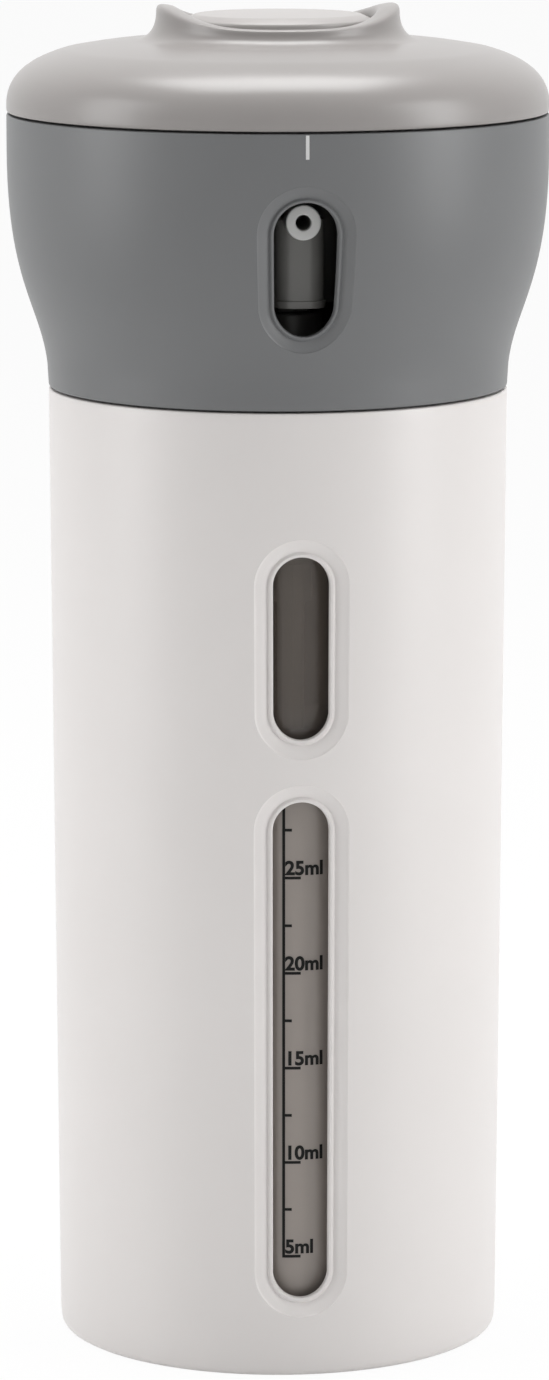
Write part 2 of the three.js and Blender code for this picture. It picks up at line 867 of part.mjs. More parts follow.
function dipTube() {
  const top = cylinderFoot - 1.5 - snugGap;
  const foot = bottleFoot + bottleBaseWall + tubeAboveFloor;
  return turned(
    [
      [tubeRadius - tubeWall, foot],
      [tubeRadius, foot],
      [tubeRadius, top],
      [tubeRadius - tubeWall, top],
    ],
    tubeSteps,
  );
}

function piston() {
  const bore = stemRadius - 1.0 + snugGap;
  const seal = cylinderBore - snugGap;
  const foot = pistonTop - pistonHeight;
  return turned(
    [
      [bore, foot],
      [seal, foot],
      [seal - 0.4, foot + pistonHeight / 2],
      [seal, pistonTop],
      [bore, pistonTop],
    ],
    pumpSteps,
  );
}

function pumpStem() {
  const pistonSeat = stemRadius - 1.0;
  const top = stemTop - snugGap;
  const shoulder = pistonTop + snugGap;
  return turned(
    [
      [stemBore - 0.4, pistonTop - pistonHeight - pistonBelowStem],
      [pistonSeat, pistonTop - pistonHeight - pistonBelowStem],
      [pistonSeat, shoulder],
      [stemRadius, shoulder],
      [stemRadius, top],
      [stemBore, top],
      [stemBore, shoulder],
    ],
    tubeSteps,
  );
}

// The press-down top of one pump: a skirt over the turret, a socket for the stem, and a spout to the front
// with an upright apron under it.
function actuator() {
  const outline = [
    [0, actuatorFoot],
    [actuatorRadius, actuatorFoot],
    [actuatorRadius, actuatorTop - 1],
    [actuatorRadius - 1, actuatorTop],
    [0, actuatorTop],
  ];
  const hollow = [
    [0, actuatorFoot - 1],
    [actuatorRadius - actuatorWall, actuatorFoot - 1],
    [actuatorRadius - actuatorWall, actuatorRoof],
    [stemRadius + snugGap, actuatorRoof],
    [stemRadius + snugGap, stemTop],
    [stemBore, stemTop],
    [stemBore, nozzleAxis],
    [0, nozzleAxis],
  ];
  const spoutEnd = nozzleReach - bottleCircle - tipWall - snugGap;
  const apronStart = actuatorRadius - actuatorWall / 2;
  const noseEnd = apronReach - bottleCircle;
  const apron = apronBlock(apronStart, noseEnd, apronWidth / 2, nozzleAxis).add(
    apronBlock(
      apronStart,
      noseEnd + apronToe,
      apronWidth / 2 + apronToe,
      actuatorFoot + apronFootHeight,
    ),
  );
  const body = solidOf(turned(outline, bottleSteps))
    .add(apron)
    .add(lyingRod(spoutRadius, apronStart, spoutEnd, pumpSteps))
    .subtract(solidOf(turned(hollow, tubeSteps + 4)))
    .subtract(lyingRod(nozzleBore, -stemBore, spoutEnd + 1, tubeSteps));
  return geometryOf(body);
}

// An upright block from the pump's skirt out to a round-cornered nose, standing on the skirt's underside.
function apronBlock(start, noseEnd, halfWidth, top) {
  const middle = noseEnd - noseCorner;
  const side = halfWidth - noseCorner;
  const shape = new THREE.Shape();
  shape.moveTo(halfWidth, -start);
  shape.absarc(side, -middle, noseCorner, 0, -Math.PI / 2, true);
  shape.absarc(-side, -middle, noseCorner, -Math.PI / 2, -Math.PI, true);
  shape.lineTo(-halfWidth, -start);
  const block = new THREE.ExtrudeGeometry(shape, {
    depth: top - actuatorFoot,
    bevelEnabled: false,
    curveSegments: 4,
  });
  return solidOf(block.translate(0, 0, actuatorFoot));
}

// A rod along -Y at the nozzle's height, from one distance in front of the pump's axis to another.
function lyingRod(radius, start, end, steps) {
  const rod = new THREE.CylinderGeometry(radius, radius, end - start, steps);
  return solidOf(rod.translate(0, -(start + end) / 2, nozzleAxis));
}

function nozzleTip() {
  const end = nozzleReach - bottleCircle;
  const start = end - tipLength;
  const sleeveBore = spoutRadius + snugGap;
  const outline = [
    [sleeveBore, start],
    [tipRadius, start],
    [tipRadius, end - 0.3],
    [tipRadius - 0.3, end],
    [nozzleBore, end],
    [nozzleBore, end - tipWall],
    [sleeveBore, end - tipWall],
  ];
  return turned(outline, pumpSteps)
    .rotateX(Math.PI / 2)
    .translate(0, 0, nozzleAxis);
}

piece("outer_sleeve", outerSleeve(), whitePlastic);
piece("head_shell", headShell(), headPlastic);
piece(
  "spigot_seal",
  sealRing(sealMiddle, headFoot - sealBelowFoot),
  siliconeRubber,
);
piece("dial_dome", dialDome(), dialPlastic);
piece("push_button", pushButton(), buttonPlastic);
piece(
  "button_spring",
  coilSpring(
    buttonRadius - buttonSpringInset,
    buttonSpringWire,
    buttonSpringTurns,
    wellFloorTop + springEndGap,
    buttonCeiling - springEndGap,
    10,
  ),
  springSteel,
);
piece("carousel", carousel(), innerPlastic);
piece("dial_screw", dialScrew(), springSteel);
piece("press_plate", pressPlate(), innerPlastic);
piece(
  "return_spring",
  coilSpring(
    returnSpringRadius,
    returnSpringWire,
    returnSpringTurns,
    postShoulder + springEndGap,
    presserFoot - springEndGap,
    8,
  ),
  springSteel,
);

for (let i = 0; i < bottleCount; i++) {
  const place = new THREE.Group();
  place.rotation.z = (i * 2 * Math.PI) / bottleCount;
  const unit = new THREE.Group();
  unit.position.y = -bottleCircle;
  place.add(unit);
  group.add(place);
  const number = i + 1;
  piece(`bottle_${number}`, bottle(), clearPlastic, unit);
  piece(`neck_gasket_${number}`, neckGasket(), siliconeRubber, unit);
  piece(`pump_collar_${number}`, pumpCollar(), innerPlastic, unit);
  piece(`pump_cylinder_${number}`, pumpCylinder(), pumpPlastic, unit);
  piece(`check_ball_${number}`, checkBall(), springSteel, unit);
  piece(`dip_tube_${number}`, dipTube(), pumpPlastic, unit);
  piece(
    `pump_spring_${number}`,
    coilSpring(
      pumpSpringRadius,
      springWire,
      pumpSpringTurns,
      springSeat,
      pistonTop - pistonHeight - springEndGap,
      7,
    ),
    springSteel,
    unit,
  );
  piece(`piston_${number}`, piston(), pumpPlastic, unit);
  piece(`pump_stem_${number}`, pumpStem(), innerPlastic, unit);
  piece(`actuator_${number}`, actuator(), innerPlastic, unit);
  piece(`nozzle_tip_${number}`, nozzleTip(), pumpPlastic, unit);
}

export default group;
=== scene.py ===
# %% [markdown]
# # A travel dispenser for toiletries
# The real object is a 200 mm dispenser that stands like a flask: a white sleeve with two sight windows, a
# grey head with a slot for the nozzle, and a turning dial with a push button in its raised collar. Inside,
# four pump bottles hang from a carousel. The solids already have their true size and place. Here each
# visible one gets a smooth, finely rounded double, and every surface gets the look of its plastic.

import math

import bmesh
import bpy
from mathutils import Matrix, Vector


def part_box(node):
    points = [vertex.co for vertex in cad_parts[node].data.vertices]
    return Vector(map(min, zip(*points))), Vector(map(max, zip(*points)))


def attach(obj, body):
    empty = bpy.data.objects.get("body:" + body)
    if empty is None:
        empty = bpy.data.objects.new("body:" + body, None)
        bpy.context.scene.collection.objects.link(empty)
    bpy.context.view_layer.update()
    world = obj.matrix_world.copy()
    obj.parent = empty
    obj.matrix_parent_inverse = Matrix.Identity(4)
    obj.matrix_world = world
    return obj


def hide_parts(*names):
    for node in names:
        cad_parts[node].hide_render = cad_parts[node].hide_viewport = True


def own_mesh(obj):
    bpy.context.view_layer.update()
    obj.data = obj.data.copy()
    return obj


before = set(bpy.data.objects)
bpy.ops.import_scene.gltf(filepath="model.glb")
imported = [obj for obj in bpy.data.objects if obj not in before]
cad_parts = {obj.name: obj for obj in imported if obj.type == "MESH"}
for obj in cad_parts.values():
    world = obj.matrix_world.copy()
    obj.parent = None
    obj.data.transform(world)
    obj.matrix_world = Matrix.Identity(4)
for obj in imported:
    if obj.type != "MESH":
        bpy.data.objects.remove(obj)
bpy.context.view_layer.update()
MM = 0.001

# %% [markdown]
# Blender's operators act on what is selected and on the mode that is open. So each piece starts with a
# clean slate, and its points and faces are picked by their place, as a hand with a box select would do it.

# %% Clean slate and pick by place


def clean_slate():
    if bpy.context.object and bpy.context.object.mode != "OBJECT":
        bpy.ops.object.mode_set(mode="OBJECT")
    bpy.ops.object.select_all(action="DESELECT")


def pick(piece, test, kind="VERT"):
    """Selects the open mesh's points, or faces, whose place in millimetres passes the test."""
    mesh = bmesh.from_edit_mesh(piece.data)
    for face in mesh.faces:
        face.select = False
    for edge in mesh.edges:
        edge.select = False
    for vert in mesh.verts:
        vert.select = kind == "VERT" and test(piece.matrix_world @ vert.co / MM)
    if kind == "FACE":
        for face in mesh.faces:
            if test(piece.matrix_world @ face.calc_center_median() / MM):
                face.select_set(True)
    mesh.select_mode = {kind}
    mesh.select_flush_mode()
    bmesh.update_edit_mesh(piece.data)


def take(piece):
    """Selects one piece alone and makes it the active one."""
    clean_slate()
    piece.select_set(True)
    bpy.context.view_layer.objects.active = piece


def apply_place():
    """The active piece's place, turn and size go into its mesh, so that its origin is the object's own."""
    bpy.ops.object.transform_apply(location=True, rotation=True, scale=True)


def close_mesh():
    """Turns all faces of the open mesh outward and leaves edit mode."""
    bpy.ops.mesh.select_all(action="SELECT")
    bpy.ops.mesh.normals_make_consistent(inside=False)
    bpy.ops.object.mode_set(mode="OBJECT")


def settle(piece, name, sharp_above=32):
    """Ends a piece: its place goes into its mesh, and its shading is smooth except at real edges."""
    take(piece)
    piece.name = name
    piece.data.name = name
    apply_place()
    bpy.ops.object.shade_smooth_by_angle(angle=math.radians(sharp_above))
    return piece


# %% [markdown]
# Moulded parts have no knife edges: a mould's corner leaves a radius of a few tenths of a millimetre, and
# that radius is what catches the light. A rounded outline gives it. Each corner of the outline is written
# as radius, height and fillet, and the fillet is laid out as a short curve.

# %% Outlines with rounded corners
LONGEST_FILLET = 0.45  # as a share of the straight piece beside it


def rounded(corners, steps=4):
    """Points of an outline whose corners are (radius, height) or (radius, height, fillet), in mm."""
    points = []
    for i, corner in enumerate(corners):
        r, z = corner[:2]
        fillet = corner[2] if len(corner) > 2 else 0
        if not fillet:
            points.append((r, z))
            continue
        before = corners[i - 1]
        after = corners[(i + 1) % len(corners)]
        arms = []
        for other in (before, after):
            run, rise = other[0] - r, other[1] - z
            length = math.hypot(run, rise)
            reach = min(fillet, LONGEST_FILLET * length)
            arms.append((r + run / length * reach, z + rise / length * reach))
        (r0, z0), (r1, z1) = arms
        for step in range(steps + 1):
            t = step / steps
            a, b, c = (1 - t) ** 2, 2 * t * (1 - t), t**2
            points.append((a * r0 + b * r + c * r1, a * z0 + b * z + c * z1))
    return points


def curve(p0, p1, p2, p3, steps):
    """Points along a smooth curve that leaves p0 towards p1 and comes into p3 from p2."""
    points = []
    for step in range(steps + 1):
        t = step / steps
        a, b, c, d = (1 - t) ** 3, 3 * t * (1 - t) ** 2, 3 * t**2 * (1 - t), t**3
        points.append(tuple(a * w + b * x + c * y + d * z for w, x, y, z in zip(p0, p1, p2, p3)))
    return points


print("a rounded corner has", len(rounded([(0, 0), (1, 0, 0.2), (1, 1)])) - 2, "points")

# %% [markdown]
# The sleeve, head, dial, button, bottles and pump parts are all bodies of revolution. They could be spun
# from a profile, but a ring that is extruded and scaled from one outline point to the next gives the same
# shape with evenly spaced quads, and the ends can be closed by merging the last ring to its middle.

# %% A turned piece from a ring that is extruded along its outline


def turned(outline, steps, y=0):
    """A solid turned about an upright axis at x = 0. Its outline ends at radius 0 twice, or closes."""
    clean_slate()
    on_axis = outline[0][0] == 0
    rings = outline[1:] if on_axis else outline
    r, z = rings[0]
    bpy.ops.mesh.primitive_circle_add(
        vertices=steps,
        radius=r * MM,
        location=(0, y * MM, z * MM),
        fill_type="TRIFAN" if on_axis else "NOTHING",
    )
    piece = bpy.context.object
    bpy.ops.object.mode_set(mode="EDIT")
    bpy.ops.mesh.select_mode(type="EDGE")
    if on_axis:
        pick(piece, lambda p: math.hypot(p.x, p.y - y) < 0.01)
        bpy.ops.transform.translate(value=(0, 0, (outline[0][1] - z) * MM))
        bpy.ops.mesh.select_mode(type="EDGE")
        bpy.ops.mesh.select_all(action="DESELECT")
        bpy.ops.mesh.select_non_manifold()
    centre = (0, y * MM, 0)
    for new_r, new_z in rings[1:]:
        bpy.ops.mesh.extrude_region_move(TRANSFORM_OT_translate={"value": (0, 0, (new_z - z) * MM)})
        if new_r == 0:
            bpy.ops.mesh.merge(type="CENTER")
            break
        if abs(new_r - r) > 1e-6:
            bpy.ops.transform.resize(value=(new_r / r, new_r / r, 1), center_override=centre)
        r, z = new_r, new_z
    if not on_axis:
        bpy.ops.mesh.select_all(action="DESELECT")
        bpy.ops.mesh.select_non_manifold()
        bpy.ops.mesh.bridge_edge_loops()
    close_mesh()
    return piece


def carve(piece, cutter, operation="DIFFERENCE"):
    """Cuts or joins another solid into the piece and takes that solid away."""
    take(piece)
    cut = piece.modifiers.new("carve", "BOOLEAN")
    cut.operation = operation
    cut.solver = "EXACT"
    cut.object = cutter
    bpy.ops.object.modifier_apply(modifier=cut.name)
    bpy.data.objects.remove(cutter)


# %% [markdown]
# The two windows and the slot are stadium shapes with a sunk, softly rolled rim. A flat cutter would dig
# deeper in the middle than at the sides of a round wall. So the cutter is modelled flat, as a stadium that
# is extruded and drawn in step by step, and then its points are wrapped round the wall.

# %% A rolled-rim cutter for windows and slots
CAP_POINTS = 48  # round both ends together
SIDE_CUTS = 14  # along each straight side
RIM_DEPTH = 1.05
RIM_LIP = 0.3


def rim_cutter(foot, height, width, sections, radius_at):
    """sections lists (growth of the outline, height over the wall), from outside in, in millimetres."""
    clean_slate()
    middle = foot + height / 2
    half_straight = (height - width) / 2
    grow, depth = sections[0]
    bpy.ops.mesh.primitive_circle_add(
        vertices=CAP_POINTS,
        radius=(width / 2 + grow) * MM,
        location=(0, -depth * MM, middle * MM),
        rotation=(math.pi / 2, 0, 0),
        fill_type="NGON",
    )
    cutter = bpy.context.object
    bpy.ops.object.mode_set(mode="EDIT")
    pick(cutter, lambda p: p.z > middle - 0.01)
    bpy.ops.transform.translate(value=(0, 0, half_straight * MM))
    pick(cutter, lambda p: p.z < middle)
    bpy.ops.transform.translate(value=(0, 0, -half_straight * MM))
    mesh = bmesh.from_edit_mesh(cutter.data)
    for edge in mesh.edges:
        edge.select = edge.calc_length() > 1.2 * half_straight * MM
    bpy.ops.mesh.subdivide(number_cuts=SIDE_CUTS)
    bpy.ops.mesh.select_mode(type="FACE")
    bpy.ops.mesh.select_all(action="SELECT")
    for new_grow, new_depth in sections[1:]:
        move = {"value": (0, (depth - new_depth) * MM, 0)}
        bpy.ops.mesh.extrude_region_move(TRANSFORM_OT_translate=move)
        ratio = (width / 2 + new_grow) / (width / 2 + grow)
        bpy.ops.transform.resize(value=(ratio, 1, 1), center_override=(0, 0, middle * MM))
        front = -new_depth
        for side in (1, -1):
            cap = middle + side * half_straight
            pick(cutter, lambda p: abs(p.y - front) < 1e-3 and (p.z - cap) * side > 0.02)
            bpy.ops.transform.resize(value=(1, 1, ratio), center_override=(0, 0, cap * MM))
        pick(cutter, lambda p: abs(p.y - front) < 1e-3, kind="FACE")
        grow, depth = new_grow, new_depth
    close_mesh()
    apply_place()
    for vert in cutter.data.vertices:
        across, over, z = vert.co.x, -vert.co.y, vert.co.z
        radius = radius_at(z / MM) * MM
        angle = across / (radius_at(middle) * MM)
        vert.co = ((radius + over) * math.sin(angle), -(radius + over) * math.cos(angle), z)
    return cutter


def rolled_rim(width, wall):
    """A rim that slopes in from a rolled edge to a narrow groove, then rises to a low lip at the hole."""
    depth, lip = RIM_DEPTH, RIM_LIP
    return [
        (width + 0.12, 1.5),
        (width + 0.10, 0.12),
        (width, -0.06),
        (width - 0.12, -0.16),
        (width - 0.30, -0.27),
        (0.68 * width, -0.48 * depth),
        (0.50 * width, -0.73 * depth),
        (0.38 * width, -0.90 * depth),
        (0.30 * width, -depth),
        (0.23 * width, -depth + 0.4 * lip),
        (0.17 * width, -depth + 0.9 * lip),
        (0.10 * width, -depth + lip),
        (0.04 * width, -depth + 0.8 * lip),
        (0, -depth + 0.3 * lip),
        (0, -wall - 3),
    ]


# %% [markdown]
# The sleeve is a moulded cup with a slight draft, 34 mm in radius at its mouth and 33 mm at its foot. Its
# rim and foot have small radii, it stands on a foot ring, and a key in its mouth lines it up with the
# head. Its size is read from the solids, and so are those of the head and the dial.

# %% Sleeve sizes from the solids
JOINT_GAP = 0.3  # between pieces that move on each other
SLEEVE_DRAFT = 1.0
sleeve_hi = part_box("outer_sleeve")[1]
head_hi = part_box("head_shell")[1]
dial_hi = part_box("dial_dome")[1]
sleeve_top = sleeve_hi[2] / MM
sleeve_top_radius = sleeve_hi[0] / MM
sleeve_base_radius = sleeve_top_radius - SLEEVE_DRAFT
head_foot = sleeve_top + JOINT_GAP
head_top = head_hi[2] / MM
head_radius = head_hi[0] / MM
dial_foot = head_top + JOINT_GAP
print(f"sleeve {sleeve_top:.2f} mm tall, head to {head_top:.2f} mm, dial to {dial_hi[2] / MM:.2f} mm")

# %% The sleeve
SLEEVE_WALL = 1.9
WINDOWS = ((95.1, 26.8), (11.7, 74.3))  # foot and height of each
WINDOW_WIDTH = 8.6
WINDOW_RIM = 2.65
KEY_DROP = 4.2  # from the sleeve's mouth down to the key's top
KEY_LENGTH = 14.0
KEY_WIDTH = 2.4
KEY_DEPTH = 2.2


def sleeve_radius(z):
    return sleeve_base_radius + (sleeve_top_radius - sleeve_base_radius) * z / sleeve_top


def sleeve_rings(z0, z1, count, inset=0.0):
    """Extra rings up a wall, which keep its quads short beside the windows."""
    heights = [z0 + (z1 - z0) * i / count for i in range(1, count)]
    return [(sleeve_radius(z) - inset, z) for z in heights]


def make_sleeve():
    wall = SLEEVE_WALL
    base = sleeve_base_radius
    outline = rounded(
        [
            (0, 0.5),
            (base - 5.0, 0.5, 0.2),
            (base - 5.0, 0, 0.2),
            (base - 0.2, 0, 1.2),
            (sleeve_radius(3), 3),
        ]
    )
    outline += sleeve_rings(3, sleeve_top - 2, 36)
    outline += rounded(
        [
            (sleeve_radius(sleeve_top - 2), sleeve_top - 2),
            (sleeve_top_radius, sleeve_top, 0.35),
            (sleeve_top_radius - wall, sleeve_top, 0.3),
            (sleeve_top_radius - wall, sleeve_top - 2),
        ]
    )
    outline += sleeve_rings(sleeve_top - 2, 3, 36, inset=wall)
    outline += rounded([(base - wall, 3), (base - wall, 1.5, 1.0), (0, 1.5)])
    shell = turned(outline, steps=144)
    for foot, height in WINDOWS:
        carve(shell, rim_cutter(foot, height, WINDOW_WIDTH, rolled_rim(WINDOW_RIM, wall), sleeve_radius))
    clean_slate()
    bpy.ops.mesh.primitive_cube_add(
        size=1,
        location=(0, (sleeve_top_radius - wall) * MM, (sleeve_top - KEY_DROP - KEY_LENGTH / 2) * MM),
        scale=(KEY_WIDTH * MM, KEY_DEPTH * MM, KEY_LENGTH * MM),
    )
    key = bpy.context.object
    bpy.ops.object.mode_set(mode="EDIT")
    bpy.ops.mesh.bevel(offset=0.35 * MM, segments=3)
    bpy.ops.object.mode_set(mode="OBJECT")
    carve(shell, key, "UNION")
    return settle(shell, "sleeve")


sleeve = make_sleeve()
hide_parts("outer_sleeve")
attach(sleeve, "sleeve")
print("sleeve:", len(sleeve.data.polygons), "faces")

# %% [markdown]
# The head flares in one S curve from the sleeve's width to the dial's, and then runs straight up. A spigot
# under it plugs into the sleeve, with a seal ring in its groove and a slot for the key, and ribs inside
# guide the press plate.

# %% The head
HEAD_WALL = 2.0
RABBET = 0.8  # the step in the head's mouth, where the dial's skirt sits
FLARE_RISE = 34.85
SPIGOT_STEP = 2.2  # from the sleeve's outside in to the spigot's
SPIGOT_WALL = 2.4
SPIGOT_LENGTH = 8
SEAL_DROP = 3.2
SEAL_PROUD = 0.15
SEAL_HALF = 0.7
GROOVE_HALF = 0.8
SLOT_RISE = 10.85  # from the head's foot up to the slot
SLOT_HEIGHT = 19.5
SLOT_WIDTH = 9.4
SLOT_RIM = 2.3
FLARE = curve(
    (sleeve_top_radius, head_foot),
    (sleeve_top_radius, head_foot + 11.4),
    (head_radius, head_foot + FLARE_RISE - 22.0),
    (head_radius, head_foot + FLARE_RISE),
    28,
)


def head_radius_at(z):
    for (r0, z0), (r1, z1) in zip(FLARE, FLARE[1:]):
        if z <= z1:
            return r0 + (r1 - r0) * max(0, z - z0) / (z1 - z0)
    return head_radius


def box_solid(lo, hi, turn=0.0, edge=0.15):
    """A block between two corners, turned about the upright axis, with its edges a little rounded."""
    clean_slate()
    centre = [(a + b) / 2 * MM for a, b in zip(lo, hi)]
    size = [(b - a) * MM for a, b in zip(lo, hi)]
    bpy.ops.mesh.primitive_cube_add(size=1, location=centre, scale=size)
    block = bpy.context.object
    apply_place()
    if edge:
        bpy.ops.object.mode_set(mode="EDIT")
        bpy.ops.mesh.bevel(offset=edge * MM, segments=2)
        bpy.ops.object.mode_set(mode="OBJECT")
    block.rotation_euler = (0, 0, turn)
    apply_place()
    return block


def make_head():
    wall, spigot = HEAD_WALL, sleeve_top_radius - SPIGOT_STEP
    bore = spigot - SPIGOT_WALL
    seal_z = head_foot - SEAL_DROP
    groove = spigot + SEAL_PROUD - SEAL_HALF - GROOVE_HALF
    outline = rounded(
        [
            (bore, head_foot - SPIGOT_LENGTH, 0.3),
            (spigot, head_foot - SPIGOT_LENGTH, 0.6),
            (spigot, seal_z - GROOVE_HALF),
            (groove, seal_z - GROOVE_HALF),
            (groove, seal_z + GROOVE_HALF),
            (spigot, seal_z + GROOVE_HALF),
            (spigot, head_foot),
            (sleeve_top_radius, head_foot, 0.35),
            FLARE[3],
        ]
    )
    outline += FLARE[4:]
    outline += rounded(
        [
            FLARE[-1],
            (head_radius, head_top, 0.35),
            (head_radius - wall - RABBET, head_top, 0.2),
            (head_radius - wall - RABBET, head_top - 1),
            (head_radius - wall, head_top - 1),
            (head_radius - wall, FLARE[-1][1]),
        ]
    )
    outline += [(r - wall, z) for r, z in reversed(FLARE[6:-1])]
    inside = sleeve_top_radius - wall
    outline += [(inside, head_foot + 5), (inside, head_foot + 1.5), (bore, head_foot + 1.5)]
    shell = turned(outline, steps=160)
    rim = rolled_rim(SLOT_RIM, wall)
    carve(shell, rim_cutter(head_foot + SLOT_RISE, SLOT_HEIGHT, SLOT_WIDTH, rim, head_radius_at))
    key_slot_top = sleeve_top - KEY_DROP + JOINT_GAP
    key_slot_foot = head_foot - SPIGOT_LENGTH - 1
    carve(shell, box_solid((-1.5, bore - 1, key_slot_foot), (1.5, spigot + 1, key_slot_top)))
    for i in range(4):
        diagonal = math.radians(45 + 90 * i)
        for side in (-1, 1):
            rib = box_solid(
                (35.6, side * 3.4 - 0.6, head_top - 17.2),
                (38.6, side * 3.4 + 0.6, head_top - 3.2),
                diagonal,
            )
            carve(shell, rib, "UNION")
    return settle(shell, "head")


head = make_head()
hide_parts("head_shell")
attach(head, "head")
print("head:", len(head.data.polygons), "faces")

# %% [markdown]
# The dial is a shallow dome with a raised collar round the button. The collar's lip isn't level: it stands
# low at the front and back and rises to an ear at each side, which gives the fingers a grip to turn it.
# The dome is turned first, and then the collar's rings are lifted with the fourth power of the sideways
# direction, which keeps the front low and the ears narrow.

# %% The dial
COLLAR_FOOT = dial_foot + 10.4
COLLAR_RISE = 2.5
EAR_RISE = 2.8
WELL_RADIUS = 14.3
LIP_RADIUS = WELL_RADIUS + 2.7
COLLAR_FLARE = 3.9


def make_dial():
    shoulder_top = dial_foot + 9.1
    crown = head_radius - 8.5
    collar_foot_radius = LIP_RADIUS + COLLAR_FLARE
    lip = COLLAR_FOOT + COLLAR_RISE
    well_out = WELL_RADIUS + 2.0
    floor_foot, floor_top = dial_foot - 1.0, dial_foot + 1.0
    skirt = head_radius - HEAD_WALL - RABBET - 0.4
    bead_top = head_top - 1.3
    outline = [
        (0, floor_foot),
        (well_out, floor_foot),
        (well_out, COLLAR_FOOT - 2.4),
        (collar_foot_radius - 1, COLLAR_FOOT - 2.4),
        (crown - 1, shoulder_top - 2.0),
        (crown + 3.0, shoulder_top - 3.4),
        (skirt - 1.4, dial_foot + 2.6),
        (skirt - 1.4, bead_top - 1.0),
        (skirt + 0.8, bead_top - 0.6),
        (skirt + 0.8, bead_top),
        (skirt, bead_top),
        (skirt, dial_foot),
    ]
    rim = [(skirt, dial_foot), (head_radius, dial_foot, 0.4), (head_radius, dial_foot + 1)]
    outline += rounded(rim)[1:]
    outline += curve(
        (head_radius, dial_foot + 1.0),
        (head_radius, dial_foot + 5.4),
        (crown + 5.0, shoulder_top - 1.4),
        (crown, shoulder_top),
        20,
    )[1:]
    outline += curve(
        (crown, shoulder_top),
        (crown - 3.2, shoulder_top + 0.6),
        (collar_foot_radius + 3.4, COLLAR_FOOT - 0.1),
        (collar_foot_radius, COLLAR_FOOT),
        10,
    )[1:]
    outline += curve(
        (collar_foot_radius, COLLAR_FOOT),
        (LIP_RADIUS + 1.9, COLLAR_FOOT + 0.15),
        (LIP_RADIUS + 0.9, lip - 1.6),
        (LIP_RADIUS + 0.9, lip - 0.5),
        12,
    )[1:]
    outline += curve(
        (LIP_RADIUS + 0.9, lip - 0.5),
        (LIP_RADIUS + 0.9, lip - 0.05),
        (LIP_RADIUS + 0.4, lip),
        (LIP_RADIUS - 0.2, lip - 0.02),
        6,
    )[1:]
    outline += curve(
        (LIP_RADIUS - 0.2, lip - 0.02),
        (WELL_RADIUS + 1.0, lip - 0.08),
        (WELL_RADIUS, lip - 0.2),
        (WELL_RADIUS, lip - 1.0),
        8,
    )[1:]
    outline += [(WELL_RADIUS, floor_top + 1.5), (WELL_RADIUS, floor_top), (0, floor_top)]
    dome = turned(outline, steps=192)
    take(dome)
    apply_place()
    for vert in dome.data.vertices:
        over = vert.co.z / MM - COLLAR_FOOT
        radius = math.hypot(vert.co.x, vert.co.y)
        if over > 0 and radius > 0:
            share = min(1.0, over / COLLAR_RISE)
            vert.co.z += EAR_RISE * MM * share * (vert.co.x / radius) ** 4
    for i in range(3):
        carve(dome, arc_block(6.3, 9.3, 78, 90 + 120 * i, floor_foot - 1, floor_top + 1))
    carve(dome, box_solid((-2.65, -2.65, floor_foot - 1), (2.65, 2.65, floor_top + 1)))
    return settle(dome, "dial", sharp_above=40)


def arc_block(inner, outer, sweep, middle, foot, top):
    """A block spun round the axis through part of a turn, sweep and middle in degrees."""
    clean_slate()
    bpy.ops.mesh.primitive_plane_add(
        size=1,
        location=((inner + outer) / 2 * MM, 0, (foot + top) / 2 * MM),
        rotation=(math.pi / 2, 0, 0),
    )
    block = bpy.context.object
    bpy.ops.transform.resize(value=((outer - inner) * MM, 1, (top - foot) * MM))
    apply_place()
    block.rotation_euler = (0, 0, math.radians(middle - sweep / 2))
    apply_place()
    bpy.ops.object.mode_set(mode="EDIT")
    bpy.ops.mesh.select_all(action="SELECT")
    bpy.ops.mesh.spin(steps=14, angle=math.radians(sweep), center=(0, 0, 0), axis=(0, 0, 1))
    bpy.ops.mesh.select_all(action="SELECT")
    bpy.ops.mesh.remove_doubles(threshold=0.005 * MM)
    close_mesh()
    return block


dial = make_dial()
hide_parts("dial_dome")
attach(dial, "dial")
dial_top = max(vert.co.z for vert in dial.data.vertices) / MM
print("dial:", len(dial.data.polygons), "faces, top at", round(dial_top, 2))

# %% [markdown]
# The push button is a thin-walled cap. Its flat top is edged by a chamfer that shows as a lighter ring,
# and three curved legs run from it through the dial's floor to the press plate.

# %% The push button
button_lo, button_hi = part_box("push_button")
BUTTON_TOP = button_hi[2] / MM
BUTTON_FOOT = button_lo[2] / MM
BUTTON_RADIUS = 13.9
BUTTON_SKIRT = 4.2
BUTTON_WALL = 1.6


def make_button():
    outline = rounded(
        [
            (0, BUTTON_TOP),
            (12.2, BUTTON_TOP, 0.35),
            (BUTTON_RADIUS, BUTTON_TOP - 0.8, 0.35),
            (BUTTON_RADIUS, BUTTON_TOP - BUTTON_SKIRT, 0.2),
            (12.5, BUTTON_TOP - BUTTON_SKIRT, 0.2),
            (12.5, BUTTON_TOP - BUTTON_WALL, 0.3),
            (0, BUTTON_TOP - BUTTON_WALL),
        ]
    )
    cap = turned(outline, steps=128)
    for i in range(3):
        carve(cap, arc_block(6.6, 9.0, 70, 90 + 120 * i, BUTTON_FOOT, BUTTON_TOP - 0.8), "UNION")
    return settle(cap, "button")


button = make_button()
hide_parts("push_button")
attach(button, "button")
print("button:", len(button.data.polygons), "faces")

# %% [markdown]
# Each bottle is blown from clear plastic: a round body, a soft shoulder and a neck. The neck's thread
# would be hidden under the pump's collar, so the neck is left plain. The bottle is made once for the front
# place, and then copied to the other three by turning a quarter round the axis.

# %% Four of a kind
BOTTLE_CIRCLE = 18.0


